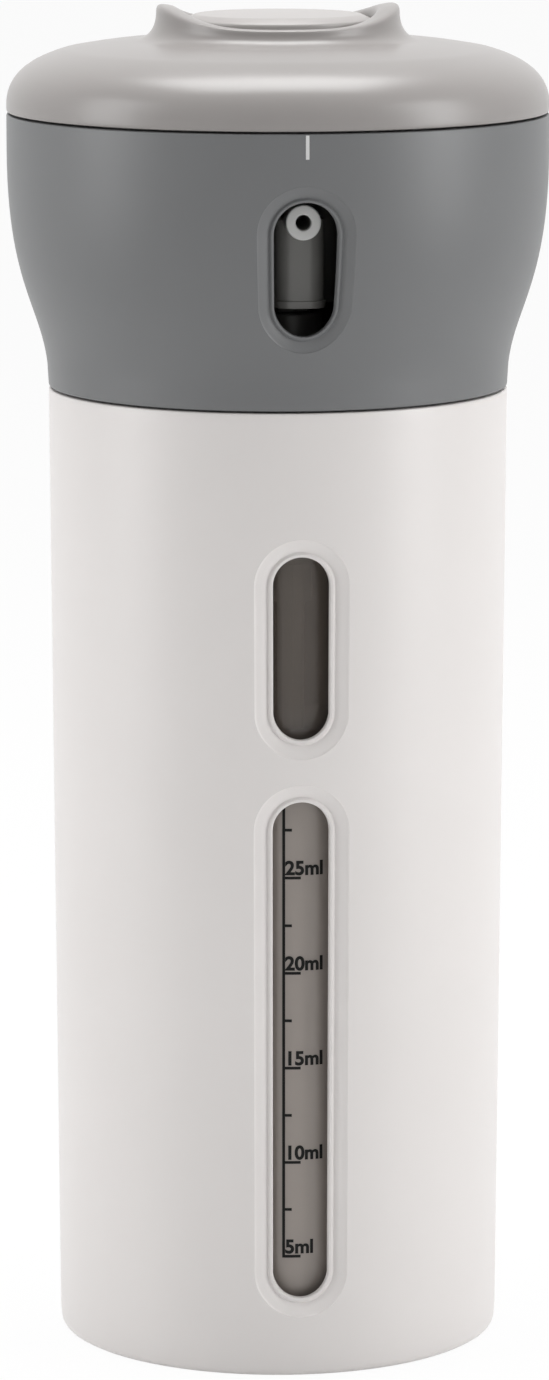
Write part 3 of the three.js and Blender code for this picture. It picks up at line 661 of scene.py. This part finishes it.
def four(piece, name, node, body):
    """Copies a piece made at the front to all four places, each with a mesh of its own."""
    made = []
    for i in range(4):
        copy = piece.copy()
        copy.data = piece.data.copy()
        bpy.context.collection.objects.link(copy)
        take(copy)
        copy.rotation_euler = (0, 0, i * math.pi / 2)
        apply_place()
        copy.name = f"{name}_{i + 1}"
        copy.data.name = copy.name
        if node:
            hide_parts(f"{node}_{i + 1}")
        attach(copy, f"actuator_{i + 1}" if body == "actuator" else body)
        made.append(copy)
    bpy.data.objects.remove(piece)
    print(name, "x4:", len(made[0].data.polygons), "faces each")
    return made


# %% The bottles
bottle_lo, bottle_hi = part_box("bottle_1")
BOTTLE_FOOT = bottle_lo[2] / MM
BOTTLE_RADIUS = 12.0
BOTTLE_BORE = 10.55
BODY_RISE = 122.5
NECK_TOP = bottle_hi[2] / MM
NECK_RADIUS = 8.7
NECK_BORE = 7.1


def make_bottle():
    foot, top = BOTTLE_FOOT, NECK_TOP
    body_top = foot + BODY_RISE
    neck_foot = body_top + 6
    outline = rounded(
        [
            (0, foot + 0.6),
            (8.8, foot, 0.6),
            (BOTTLE_RADIUS, foot, 1.4),
            (BOTTLE_RADIUS, body_top, 1.2),
            (11.1, body_top + 3.6, 1.6),
            (NECK_RADIUS, neck_foot, 0.8),
            (NECK_RADIUS, top, 0.25),
            (NECK_BORE, top, 0.25),
            (NECK_BORE, neck_foot - 1, 0.8),
            (10.15, body_top, 1.2),
            (BOTTLE_BORE, body_top - 2, 0.8),
            (BOTTLE_BORE, foot + 1.2, 1.2),
            (0, foot + 1.8),
        ]
    )
    return settle(turned(outline, steps=72, y=-BOTTLE_CIRCLE), "bottle")


bottles = four(make_bottle(), "clear_bottle", "bottle", "dial")

# %% [markdown]
# The millilitre scale is pad-printed on the outer side of each bottle, where the long window shows it. Ink
# has no thickness to speak of, but a printed line that is drawn as a very thin skin just over the plastic
# stays sharp at any zoom. The lines are flat strips and the numbers are text made into a mesh, all laid
# flat first and then wrapped round the bottle.

# %% The printed scale
FIVE_ML = 14.2
FIRST_MARK = 17.5
LINE = 0.42
SCALE_LEFT = -2.5
LONG_MARK = 2.7
SHORT_MARK = 1.4
SCALE_LENGTH = 4.76  # in steps of 5 ml
DIGIT_HEIGHT = 2.0
INK_LIFT = 0.04


def flat_strip(x0, x1, z0, z1):
    clean_slate()
    bpy.ops.mesh.primitive_plane_add(
        size=1,
        location=((x0 + x1) / 2 * MM, 0, (z0 + z1) / 2 * MM),
        rotation=(math.pi / 2, 0, 0),
    )
    strip = bpy.context.object
    bpy.ops.transform.resize(value=((x1 - x0) * MM, 1, (z1 - z0) * MM))
    apply_place()
    bpy.ops.object.mode_set(mode="EDIT")
    bpy.ops.mesh.subdivide(number_cuts=5)
    bpy.ops.object.mode_set(mode="OBJECT")
    return strip


def flat_text(words, x, z, height):
    clean_slate()
    bpy.ops.object.text_add(location=(x * MM, 0, z * MM), rotation=(math.pi / 2, 0, 0))
    text = bpy.context.object
    text.data.body = words
    text.data.size = height / 0.7 * MM
    text.data.offset = 0.05 * height * MM
    bpy.ops.object.convert(target="MESH")
    text = bpy.context.object
    apply_place()
    return text


def make_scale():
    left, line = SCALE_LEFT, LINE
    parts = [flat_strip(left, left + line, FIRST_MARK - line / 2, FIRST_MARK + SCALE_LENGTH * FIVE_ML)]
    for step in range(10):
        z = FIRST_MARK + step * FIVE_ML / 2
        long = step % 2 == 0
        reach = LONG_MARK if long else SHORT_MARK
        parts.append(flat_strip(left, left + reach, z - line / 2, z + line / 2))
        if long:
            parts.append(flat_text(f"{5 + 5 * (step // 2)}ml", left + 0.4, z + 0.5, DIGIT_HEIGHT))
    clean_slate()
    for part in parts:
        part.select_set(True)
    bpy.context.view_layer.objects.active = parts[0]
    bpy.ops.object.join()
    ink = bpy.context.object
    out = (BOTTLE_RADIUS + INK_LIFT) * MM
    for vert in ink.data.vertices:
        angle = vert.co.x / (BOTTLE_RADIUS * MM)
        vert.co.x = out * math.sin(angle)
        vert.co.y = -BOTTLE_CIRCLE * MM - out * math.cos(angle)
    return settle(ink, "scale")


scales = four(make_scale(), "printed_scale", None, "dial")

# %% [markdown]
# Under the dial, each pump has a screw collar with a turret, and an actuator that slides over the turret.
# The actuator's apron, the upright block under the spout, is what fills the nozzle slot. The nozzle is a
# light ring pushed on the spout's end.

# %% Pump collars
TURRET = 6.0  # the tube that stands up from the collar
CAROUSEL_TOP = 147.55
COLLAR_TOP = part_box("pump_collar_1")[1][2] / MM - TURRET


def make_collar():
    flange = CAROUSEL_TOP + JOINT_GAP
    outline = rounded(
        [
            (9.0, NECK_TOP - 11, 0.2),
            (10.2, NECK_TOP - 11, 0.3),
            (10.2, flange),
            (11.5, flange, 0.3),
            (11.5, flange + 1.2, 0.4),
            (9.6, flange + 1.2),
            (9.6, COLLAR_TOP, 0.9),
            (4.5, COLLAR_TOP, 0.5),
            (4.5, COLLAR_TOP + TURRET, 0.5),
            (3.2, COLLAR_TOP + TURRET, 0.15),
            (3.2, NECK_TOP + 2),
            (9.0, NECK_TOP + 2),
        ]
    )
    return settle(turned(outline, steps=64, y=-BOTTLE_CIRCLE), "collar")


collars = four(make_collar(), "screw_collar", "pump_collar", "dial")

# %% Actuators
actuator_lo, actuator_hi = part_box("actuator_1")
ACT_FOOT = actuator_lo[2] / MM
ACT_TOP = actuator_hi[2] / MM
ACT_RADIUS = 6.8
NOZZLE_Z = ACT_TOP - 3.7
BORE_RADIUS = 1.1
APRON_CORNER = 2.6


def lying_rod(radius, start, end):
    """A rod towards the front at the nozzle's height, its ends measured from the pump's own axis."""
    clean_slate()
    bpy.ops.mesh.primitive_cylinder_add(
        vertices=32,
        radius=radius * MM,
        depth=(end - start) * MM,
        location=(0, -(BOTTLE_CIRCLE + (start + end) / 2) * MM, NOZZLE_Z * MM),
        rotation=(math.pi / 2, 0, 0),
    )
    rod = bpy.context.object
    apply_place()
    return rod


def apron_block(half, reach, top):
    """An upright block under the spout; its front corners are well rounded, as the photo's edges show."""
    block = box_solid((-half, -reach, ACT_FOOT), (half, -BOTTLE_CIRCLE - 6.05, top), edge=0)
    bpy.ops.object.mode_set(mode="EDIT")
    bpy.ops.mesh.select_mode(type="EDGE")
    bpy.ops.mesh.select_all(action="DESELECT")
    mesh = bmesh.from_edit_mesh(block.data)
    for edge in mesh.edges:
        start, end = (vert.co / MM for vert in edge.verts)
        if max(start.y, end.y) < -reach + 0.01 and abs(start.z - end.z) > 0.5:
            edge.select_set(True)
    bmesh.update_edit_mesh(block.data)
    bpy.ops.mesh.bevel(offset=APRON_CORNER * MM, segments=10)
    bpy.ops.object.mode_set(mode="OBJECT")
    return block


def make_actuator():
    roof = ACT_FOOT + 5.7
    outline = rounded(
        [
            (0, ACT_TOP),
            (ACT_RADIUS, ACT_TOP, 1.1),
            (ACT_RADIUS, ACT_FOOT, 0.25),
            (5.3, ACT_FOOT, 0.25),
            (5.3, roof),
            (3.05, roof),
            (3.05, roof + 2.6),
            (0, roof + 2.6),
        ]
    )
    body = turned(outline, steps=64, y=-BOTTLE_CIRCLE)
    carve(body, apron_block(3.7, 30.7, NOZZLE_Z), "UNION")
    carve(body, apron_block(3.9, 30.9, ACT_FOOT + 1.0), "UNION")
    carve(body, lying_rod(2.1, 6.05, 15.75), "UNION")
    carve(body, lying_rod(BORE_RADIUS, 4.0, 17.0))
    return settle(body, "actuator")


actuators = four(make_actuator(), "pump_top", "actuator", "actuator")

# %% Nozzle tips


def make_tip():
    """Turned upright at the origin and then laid down to face the front."""
    start, end = 12.8, 16.8
    outline = rounded(
        [
            (2.25, start, 0.15),
            (2.55, start, 0.15),
            (2.55, end, 0.3),
            (BORE_RADIUS, end, 0.25),
            (BORE_RADIUS, end - 0.9),
            (2.25, end - 0.9),
        ]
    )
    tip = turned(outline, steps=48)
    take(tip)
    apply_place()
    tip.rotation_euler = (math.pi / 2, 0, 0)
    tip.location = (0, -BOTTLE_CIRCLE * MM, NOZZLE_Z * MM)
    apply_place()
    return settle(tip, "tip")


tips = four(make_tip(), "nozzle_ring", "nozzle_tip", "actuator")

# %% [markdown]
# The springs are coils of round wire. A small circle with the Screw modifier is the quickest true helix:
# it turns the circle round the axis while it climbs by one pitch each turn. Each spring rides on the piece
# that presses it.


def coil(name, node, body, radius, wire, turns, x=0, y=0):
    """A spring between the ends of its solid; radius is that of the helix, and wire that of the wire."""
    lo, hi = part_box(node)
    foot, top = lo[2] + wire * MM, hi[2] - wire * MM
    clean_slate()
    bpy.ops.mesh.primitive_circle_add(
        vertices=10,
        radius=wire * MM,
        location=(radius * MM, 0, foot),
        rotation=(math.pi / 2, 0, 0),
    )
    spring = bpy.context.object
    apply_place()
    screw = spring.modifiers.new("coil", "SCREW")
    screw.axis = "Z"
    screw.screw_offset = (top - foot) / turns
    screw.iterations = turns
    screw.steps = 28
    screw.render_steps = 28
    bpy.ops.object.modifier_apply(modifier=screw.name)
    bpy.ops.object.mode_set(mode="EDIT")
    bpy.ops.mesh.select_all(action="SELECT")
    bpy.ops.mesh.remove_doubles(threshold=0.002 * MM)
    bpy.ops.mesh.select_all(action="DESELECT")
    bpy.ops.mesh.select_non_manifold()
    bpy.ops.mesh.edge_face_add()
    close_mesh()
    spring.location = (x * MM, y * MM, 0)
    settle(spring, name)
    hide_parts(node)
    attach(spring, body)
    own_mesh(spring)
    return spring


springs = [
    coil("button_coil", "button_spring", "button", 10.85, 0.4, 3),
    coil("return_coil", "return_spring", "presser", 6.8, 0.4, 4),
]
for i in range(4):
    angle = i * math.pi / 2
    springs.append(
        coil(
            f"pump_coil_{i + 1}",
            f"pump_spring_{i + 1}",
            f"actuator_{i + 1}",
            3.3,
            0.35,
            4,
            x=BOTTLE_CIRCLE * math.sin(angle),
            y=-BOTTLE_CIRCLE * math.cos(angle),
        )
    )
print("springs:", len(springs))

# %% [markdown]
# Materials. Colours are written as the sRGB hex values that the eye reads off the object, and one function
# turns them to the linear values that the shader wants. Another adds a node, sets its values and links its
# inputs, and four short ones make the nodes that come back: noise, a range, a blend and arithmetic.

# %% Colour and node helpers


def paint(hex_value):
    channels = [int(hex_value[i : i + 2], 16) / 255 for i in (1, 3, 5)]
    linear = [c / 12.92 if c <= 0.04045 else ((c + 0.055) / 1.055) ** 2.4 for c in channels]
    return (*linear, 1.0)


def add_node(tree, kind, settings=None, values=None, links=None):
    """Adds a node; links maps an input's name or number to the output socket that feeds it."""
    made = tree.nodes.new(kind)
    for key, value in (settings or {}).items():
        setattr(made, key, value)
    for key, value in (values or {}).items():
        made.inputs[key].default_value = value
    for key, socket in (links or {}).items():
        tree.links.new(socket, made.inputs[key])
    return made


def new_material(name):
    material = bpy.data.materials.new(name)
    material.use_nodes = True
    tree = material.node_tree
    tree.nodes.clear()
    output = tree.nodes.new("ShaderNodeOutputMaterial")
    place = tree.nodes.new("ShaderNodeTexCoord")
    return material, tree, output, place.outputs["Object"]


def noise(tree, place, size, detail):
    """Noise with spots of the given size in millimetres."""
    scale = 1 / (size * MM)
    values = {"Scale": scale, "Detail": detail}
    return add_node(tree, "ShaderNodeTexNoise", values=values, links={"Vector": place}).outputs["Fac"]


def ranged(tree, value, low, high, start=0.0, end=1.0):
    """Runs from low to high while the value runs from start to end."""
    values = {"From Min": start, "From Max": end, "To Min": low, "To Max": high}
    return add_node(tree, "ShaderNodeMapRange", values=values, links={"Value": value}).outputs[0]


def blend(tree, share, first, second):
    """From the first colour to the second; each is a hex value or the socket that brings it."""
    values, links = {}, {0: share}
    for socket, colour in ((6, first), (7, second)):
        if isinstance(colour, str):
            values[socket] = paint(colour)
        else:
            links[socket] = colour
    return add_node(tree, "ShaderNodeMix", {"data_type": "RGBA"}, values, links).outputs[2]


def reckon(tree, operation, *terms):
    """A Math node; each term is a number or the socket that brings it."""
    values = {i: term for i, term in enumerate(terms) if isinstance(term, float)}
    links = {i: term for i, term in enumerate(terms) if not isinstance(term, float)}
    return add_node(tree, "ShaderNodeMath", {"operation": operation}, values, links).outputs[0]


print("white sleeve colour, linear:", [round(c, 3) for c in paint("#dedad8")])

# %% [markdown]
# The sleeve, head, dial and button are injection-moulded ABS. ABS has an IOR of about 1.53. A fine spark
# texture in the mould leaves a satin skin, rough at a few hundredths of a millimetre, and the melt's flow
# leaves very slow drifts of tone and gloss. The grain is drawn at 0.35 mm, coarser than the real one, so
# that the render can show it.

# %% Moulded ABS
GRAIN = 0.35
DRIFT = 28.0
GLOSS_DRIFT = 0.04
ABS_IOR = 1.53


def moulded(name, colour, darker, roughness, grain_depth, mark=None):
    material, tree, output, place = new_material(name)
    drift = noise(tree, place, DRIFT, 3.0)
    colour_out = blend(tree, drift, darker, colour)
    if mark:
        colour_out = mark(tree, place, colour_out)
    gloss = ranged(tree, drift, roughness - GLOSS_DRIFT, roughness + GLOSS_DRIFT)
    bump = add_node(
        tree,
        "ShaderNodeBump",
        values={"Strength": 0.35, "Distance": grain_depth * MM},
        links={"Height": noise(tree, place, GRAIN, 2.0)},
    )
    shader = add_node(
        tree,
        "ShaderNodeBsdfPrincipled",
        values={"IOR": ABS_IOR},
        links={"Base Color": colour_out, "Roughness": gloss, "Normal": bump.outputs[0]},
    )
    tree.links.new(shader.outputs[0], output.inputs["Surface"])
    return material


# %% [markdown]
# A white line is printed on the head, just under the dial at the front, to show which bottle is chosen. It
# is part of the head's colour: a band test on X, one on Z and one for the front side, multiplied together.

# %% The index mark
MARK_DROP = 1.9  # from the head's top down to the mark's middle
MARK_HALF_WIDTH = 0.25
MARK_HALF_HEIGHT = 1.7
MARK_FRONT = -0.03


def index_mark(tree, place, colour_out):
    axes = add_node(tree, "ShaderNodeSeparateXYZ", links={0: place})
    across = reckon(tree, "COMPARE", axes.outputs["X"], 0.0, MARK_HALF_WIDTH * MM)
    middle = (head_top - MARK_DROP) * MM
    upward = reckon(tree, "COMPARE", axes.outputs["Z"], middle, MARK_HALF_HEIGHT * MM)
    front = reckon(tree, "LESS_THAN", axes.outputs["Y"], MARK_FRONT)
    inside = reckon(tree, "MULTIPLY", reckon(tree, "MULTIPLY", across, upward), front)
    return blend(tree, inside, colour_out, "#d4d4d3")


white_abs = moulded("white satin ABS", "#dedad8", "#d9d5d3", 0.36, 0.006)
head_abs = moulded("grey satin ABS", "#6c6d6e", "#656667", 0.42, 0.008, mark=index_mark)
dial_abs = moulded("pale grey polished ABS", "#94908e", "#8d8987", 0.31, 0.004)
button_abs = moulded("light grey satin ABS", "#a8a4a2", "#a19d9b", 0.36, 0.005)
inner_pp = moulded("dark grey polypropylene", "#8a8986", "#81807d", 0.42, 0.008)
pump_pp = moulded("natural polypropylene", "#dcdcda", "#d3d3d1", 0.38, 0.005)
seal_silicone = moulded("white silicone rubber", "#d9d8d5", "#d0cfcc", 0.7, 0.004)
print("moulded finishes: 7")

# %% [markdown]
# The bottles are PETG, clear but lightly frosted by use and by the mould. Real refraction through two
# walls makes a bottle behind a slot go dark and noisy, so part of the light is let straight through and a
# milky layer keeps the grey-brown body that shows in the windows. The upper window is the darker one:
# the bottle is frosted under its scale and clearer above it, and its colour is darker there too. That
# darker colour is painted shade, for the dim inside under the head.

# %% Frosted PETG, with painted shade above the scale
PETG_IOR = 1.57
HAZE = 9.0
# The same band is where the base colour turns to the darker painted shade of the upper part.
FROST_AND_SHADE_END = 0.086, 0.100  # metres over the foot, where the frosted part goes over to the clear one


def frosted_petg_painted_shade():
    material, tree, output, place = new_material("frosted clear PETG with painted shade above")
    height = add_node(tree, "ShaderNodeSeparateXYZ", links={0: place}).outputs["Z"]
    body = add_node(
        tree,
        "ShaderNodeBsdfPrincipled",
        values={"IOR": PETG_IOR},
        links={
            # Painted shade: the base colour darkens from #aba29b to #756b63 over the band, for the dim
            # inside under the head.
            "Base Color": blend(tree, ranged(tree, height, 0.0, 1.0, *FROST_AND_SHADE_END), "#aba29b", "#756b63"),
            "Roughness": ranged(tree, noise(tree, place, HAZE, 3.0), 0.16, 0.26),
        },
    )
    clear = add_node(tree, "ShaderNodeBsdfTransparent", values={"Color": paint("#f2f1ee")})
    frost = ranged(tree, height, 0.78, 0.55, *FROST_AND_SHADE_END)
    share = add_node(
        tree,
        "ShaderNodeMixShader",
        links={0: frost, 1: clear.outputs[0], 2: body.outputs[0]},
    )
    tree.links.new(share.outputs[0], output.inputs["Surface"])
    return material


petg = frosted_petg_painted_shade()

# %% [markdown]
# Spring wire is hard-drawn steel, bright and with fine die lines, so it is a metal with a low roughness
# that wavers along the wire. The printed ink is matt black, and pad printing leaves its cover a little
# uneven.

# %% Spring steel and ink
DIE_LINES = 0.3
INK_COVER = 0.25


def spring_steel():
    material, tree, output, place = new_material("drawn spring steel")
    shader = add_node(
        tree,
        "ShaderNodeBsdfPrincipled",
        values={"Base Color": paint("#c3c4c6"), "Metallic": 1.0},
        links={"Roughness": ranged(tree, noise(tree, place, DIE_LINES, 2.0), 0.16, 0.26)},
    )
    tree.links.new(shader.outputs[0], output.inputs["Surface"])
    return material


def printed_ink():
    material, tree, output, place = new_material("pad-printed black ink")
    shader = add_node(
        tree,
        "ShaderNodeBsdfPrincipled",
        values={"Roughness": 0.6, "Specular IOR Level": 0.25},
        links={"Base Color": blend(tree, noise(tree, place, INK_COVER, 1.0), "#040404", "#0e0d0c")},
    )
    tree.links.new(shader.outputs[0], output.inputs["Surface"])
    return material


wire_steel = spring_steel()
ink = printed_ink()

# %% Materials onto pieces


def dress(material, *pieces):
    for piece in pieces:
        piece.data.materials.clear()
        piece.data.materials.append(material)


def dress_node(material, *names):
    for name in names:
        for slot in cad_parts[name].material_slots:
            slot.material = material


def each(name):
    return [f"{name}_{i}" for i in range(1, 5)]


dress(white_abs, sleeve)
dress(head_abs, head)
dress(dial_abs, dial)
dress(button_abs, button)
dress(petg, *bottles)
dress(ink, *scales)
dress(inner_pp, *collars, *actuators)
dress(pump_pp, *tips)
dress(wire_steel, *springs)
dress_node(seal_silicone, "spigot_seal", *each("neck_gasket"))
dress_node(inner_pp, "carousel", "press_plate", *each("pump_stem"))
dress_node(pump_pp, *each("pump_cylinder"), *each("dip_tube"), *each("piston"))
dress_node(wire_steel, "dial_screw", *each("check_ball"))

# %% [markdown]
# The camera stands 0.9 m in front, a little to the left and above, and looks down by about ten degrees,
# with a long lens. The frame is upright, so the sensor's 36 mm span its height.

# %% Camera
PHOTO_HEIGHT = 1380
SENSOR = 36.0
DISTANCE, CAMERA_HEIGHT = 900.0, 253.0
SIDE_TURN, PITCH = math.radians(6.0), math.radians(9.84)
FOCAL_PIXELS = 6098.0
SIDE_STEP = 0.5

camera_data = bpy.data.cameras.new("camera")
camera = bpy.data.objects.new("camera", camera_data)
bpy.context.collection.objects.link(camera)
camera_data.sensor_width = SENSOR
camera_data.lens = FOCAL_PIXELS * SENSOR / PHOTO_HEIGHT
camera.location = (
    (-DISTANCE * math.sin(SIDE_TURN) - SIDE_STEP * math.cos(SIDE_TURN)) * MM,
    (-DISTANCE * math.cos(SIDE_TURN) + SIDE_STEP * math.sin(SIDE_TURN)) * MM,
    CAMERA_HEIGHT * MM,
)
camera.rotation_euler = (math.pi / 2 - PITCH, 0, -SIDE_TURN)
camera_data.clip_start = 0.01
bpy.context.scene.camera = camera
print(f"lens {camera_data.lens:.1f} mm")

# %% [markdown]
# The photo's sides are brighter than its middle, so the light is a pale tent with an upright soft box at
# each side and one overhead. The right one is the stronger, because the windows' left rims are the bright
# ones. The tent is dimmer at the front, where the camera stands. The floor and the background read as
# white in the camera because their materials ask the Light Path node, and no extra light falls on the
# object for that.

# %% Lamps
SIDE_BOX = (0.45, 0.9)
TOP_BOX = (0.6, 0.45)
MIDDLE = (0, 0, 0.12)


def soft_lamp(name, place, target, size, power):
    data = bpy.data.lights.new(name, "AREA")
    data.shape = "RECTANGLE"
    data.size, data.size_y = size
    data.energy = power
    lamp = bpy.data.objects.new(name, data)
    bpy.context.collection.objects.link(lamp)
    lamp.location = place
    aim = [t - p for t, p in zip(target, place)]
    flat = math.hypot(aim[0], aim[1])
    lamp.rotation_euler = (math.atan2(flat, -aim[2]), 0, math.atan2(-aim[0], aim[1]))


soft_lamp("left", (-0.95, -0.15, 0.35), MIDDLE, SIDE_BOX, 4.4)
soft_lamp("right", (0.90, -0.42, 0.35), MIDDLE, SIDE_BOX, 6.0)
soft_lamp("top", (0.0, 0.10, 0.90), (0, 0, 0.18), TOP_BOX, 6.0)

# %% World and floor
TENT_FRONT, TENT_BACK = 0.18, 0.44
FLOOR_GLOW = 0.94  # the share of the floor's look that is plain white to the camera
world = bpy.data.worlds.new("studio")
bpy.context.scene.world = world
world.use_nodes = True
tree = world.node_tree
tree.nodes.clear()


def seen_rays(node_tree):
    """1 for rays of camera, gloss and glass, which see the white background; 0 for the light itself."""
    rays = add_node(node_tree, "ShaderNodeLightPath")
    seen = rays.outputs["Is Camera Ray"]
    for other in ("Is Glossy Ray", "Is Transmission Ray"):
        seen = reckon(node_tree, "MAXIMUM", seen, rays.outputs[other])
    return seen


direction = add_node(tree, "ShaderNodeTexCoord")
way = add_node(tree, "ShaderNodeSeparateXYZ", links={0: direction.outputs["Generated"]})
plain = add_node(
    tree,
    "ShaderNodeBackground",
    values={"Color": paint("#ffffff")},
    links={"Strength": ranged(tree, way.outputs["Y"], TENT_FRONT, TENT_BACK, -1.0, 0.0)},
)
white = add_node(tree, "ShaderNodeBackground", values={"Color": paint("#ffffff"), "Strength": 1.0})
chosen = add_node(
    tree,
    "ShaderNodeMixShader",
    links={0: seen_rays(tree), 1: plain.outputs[0], 2: white.outputs[0]},
)
add_node(tree, "ShaderNodeOutputWorld", links={"Surface": chosen.outputs[0]})


def make_floor():
    clean_slate()
    bpy.ops.mesh.primitive_plane_add(size=60.0, location=(0, 0, 0))
    floor = bpy.context.object
    floor.name = "floor"
    material, floor_tree, output, _ = new_material("pale studio floor")
    matt = add_node(floor_tree, "ShaderNodeBsdfDiffuse", values={"Color": paint("#f2f2f2")})
    glow = add_node(floor_tree, "ShaderNodeEmission", values={"Color": paint("#ffffff"), "Strength": 1.0})
    share = reckon(floor_tree, "MULTIPLY", seen_rays(floor_tree), FLOOR_GLOW)
    mixed = add_node(
        floor_tree,
        "ShaderNodeMixShader",
        links={0: share, 1: matt.outputs[0], 2: glow.outputs[0]},
    )
    floor_tree.links.new(mixed.outputs[0], output.inputs["Surface"])
    dress(material, floor)


make_floor()
bpy.context.scene.view_settings.view_transform = "Standard"
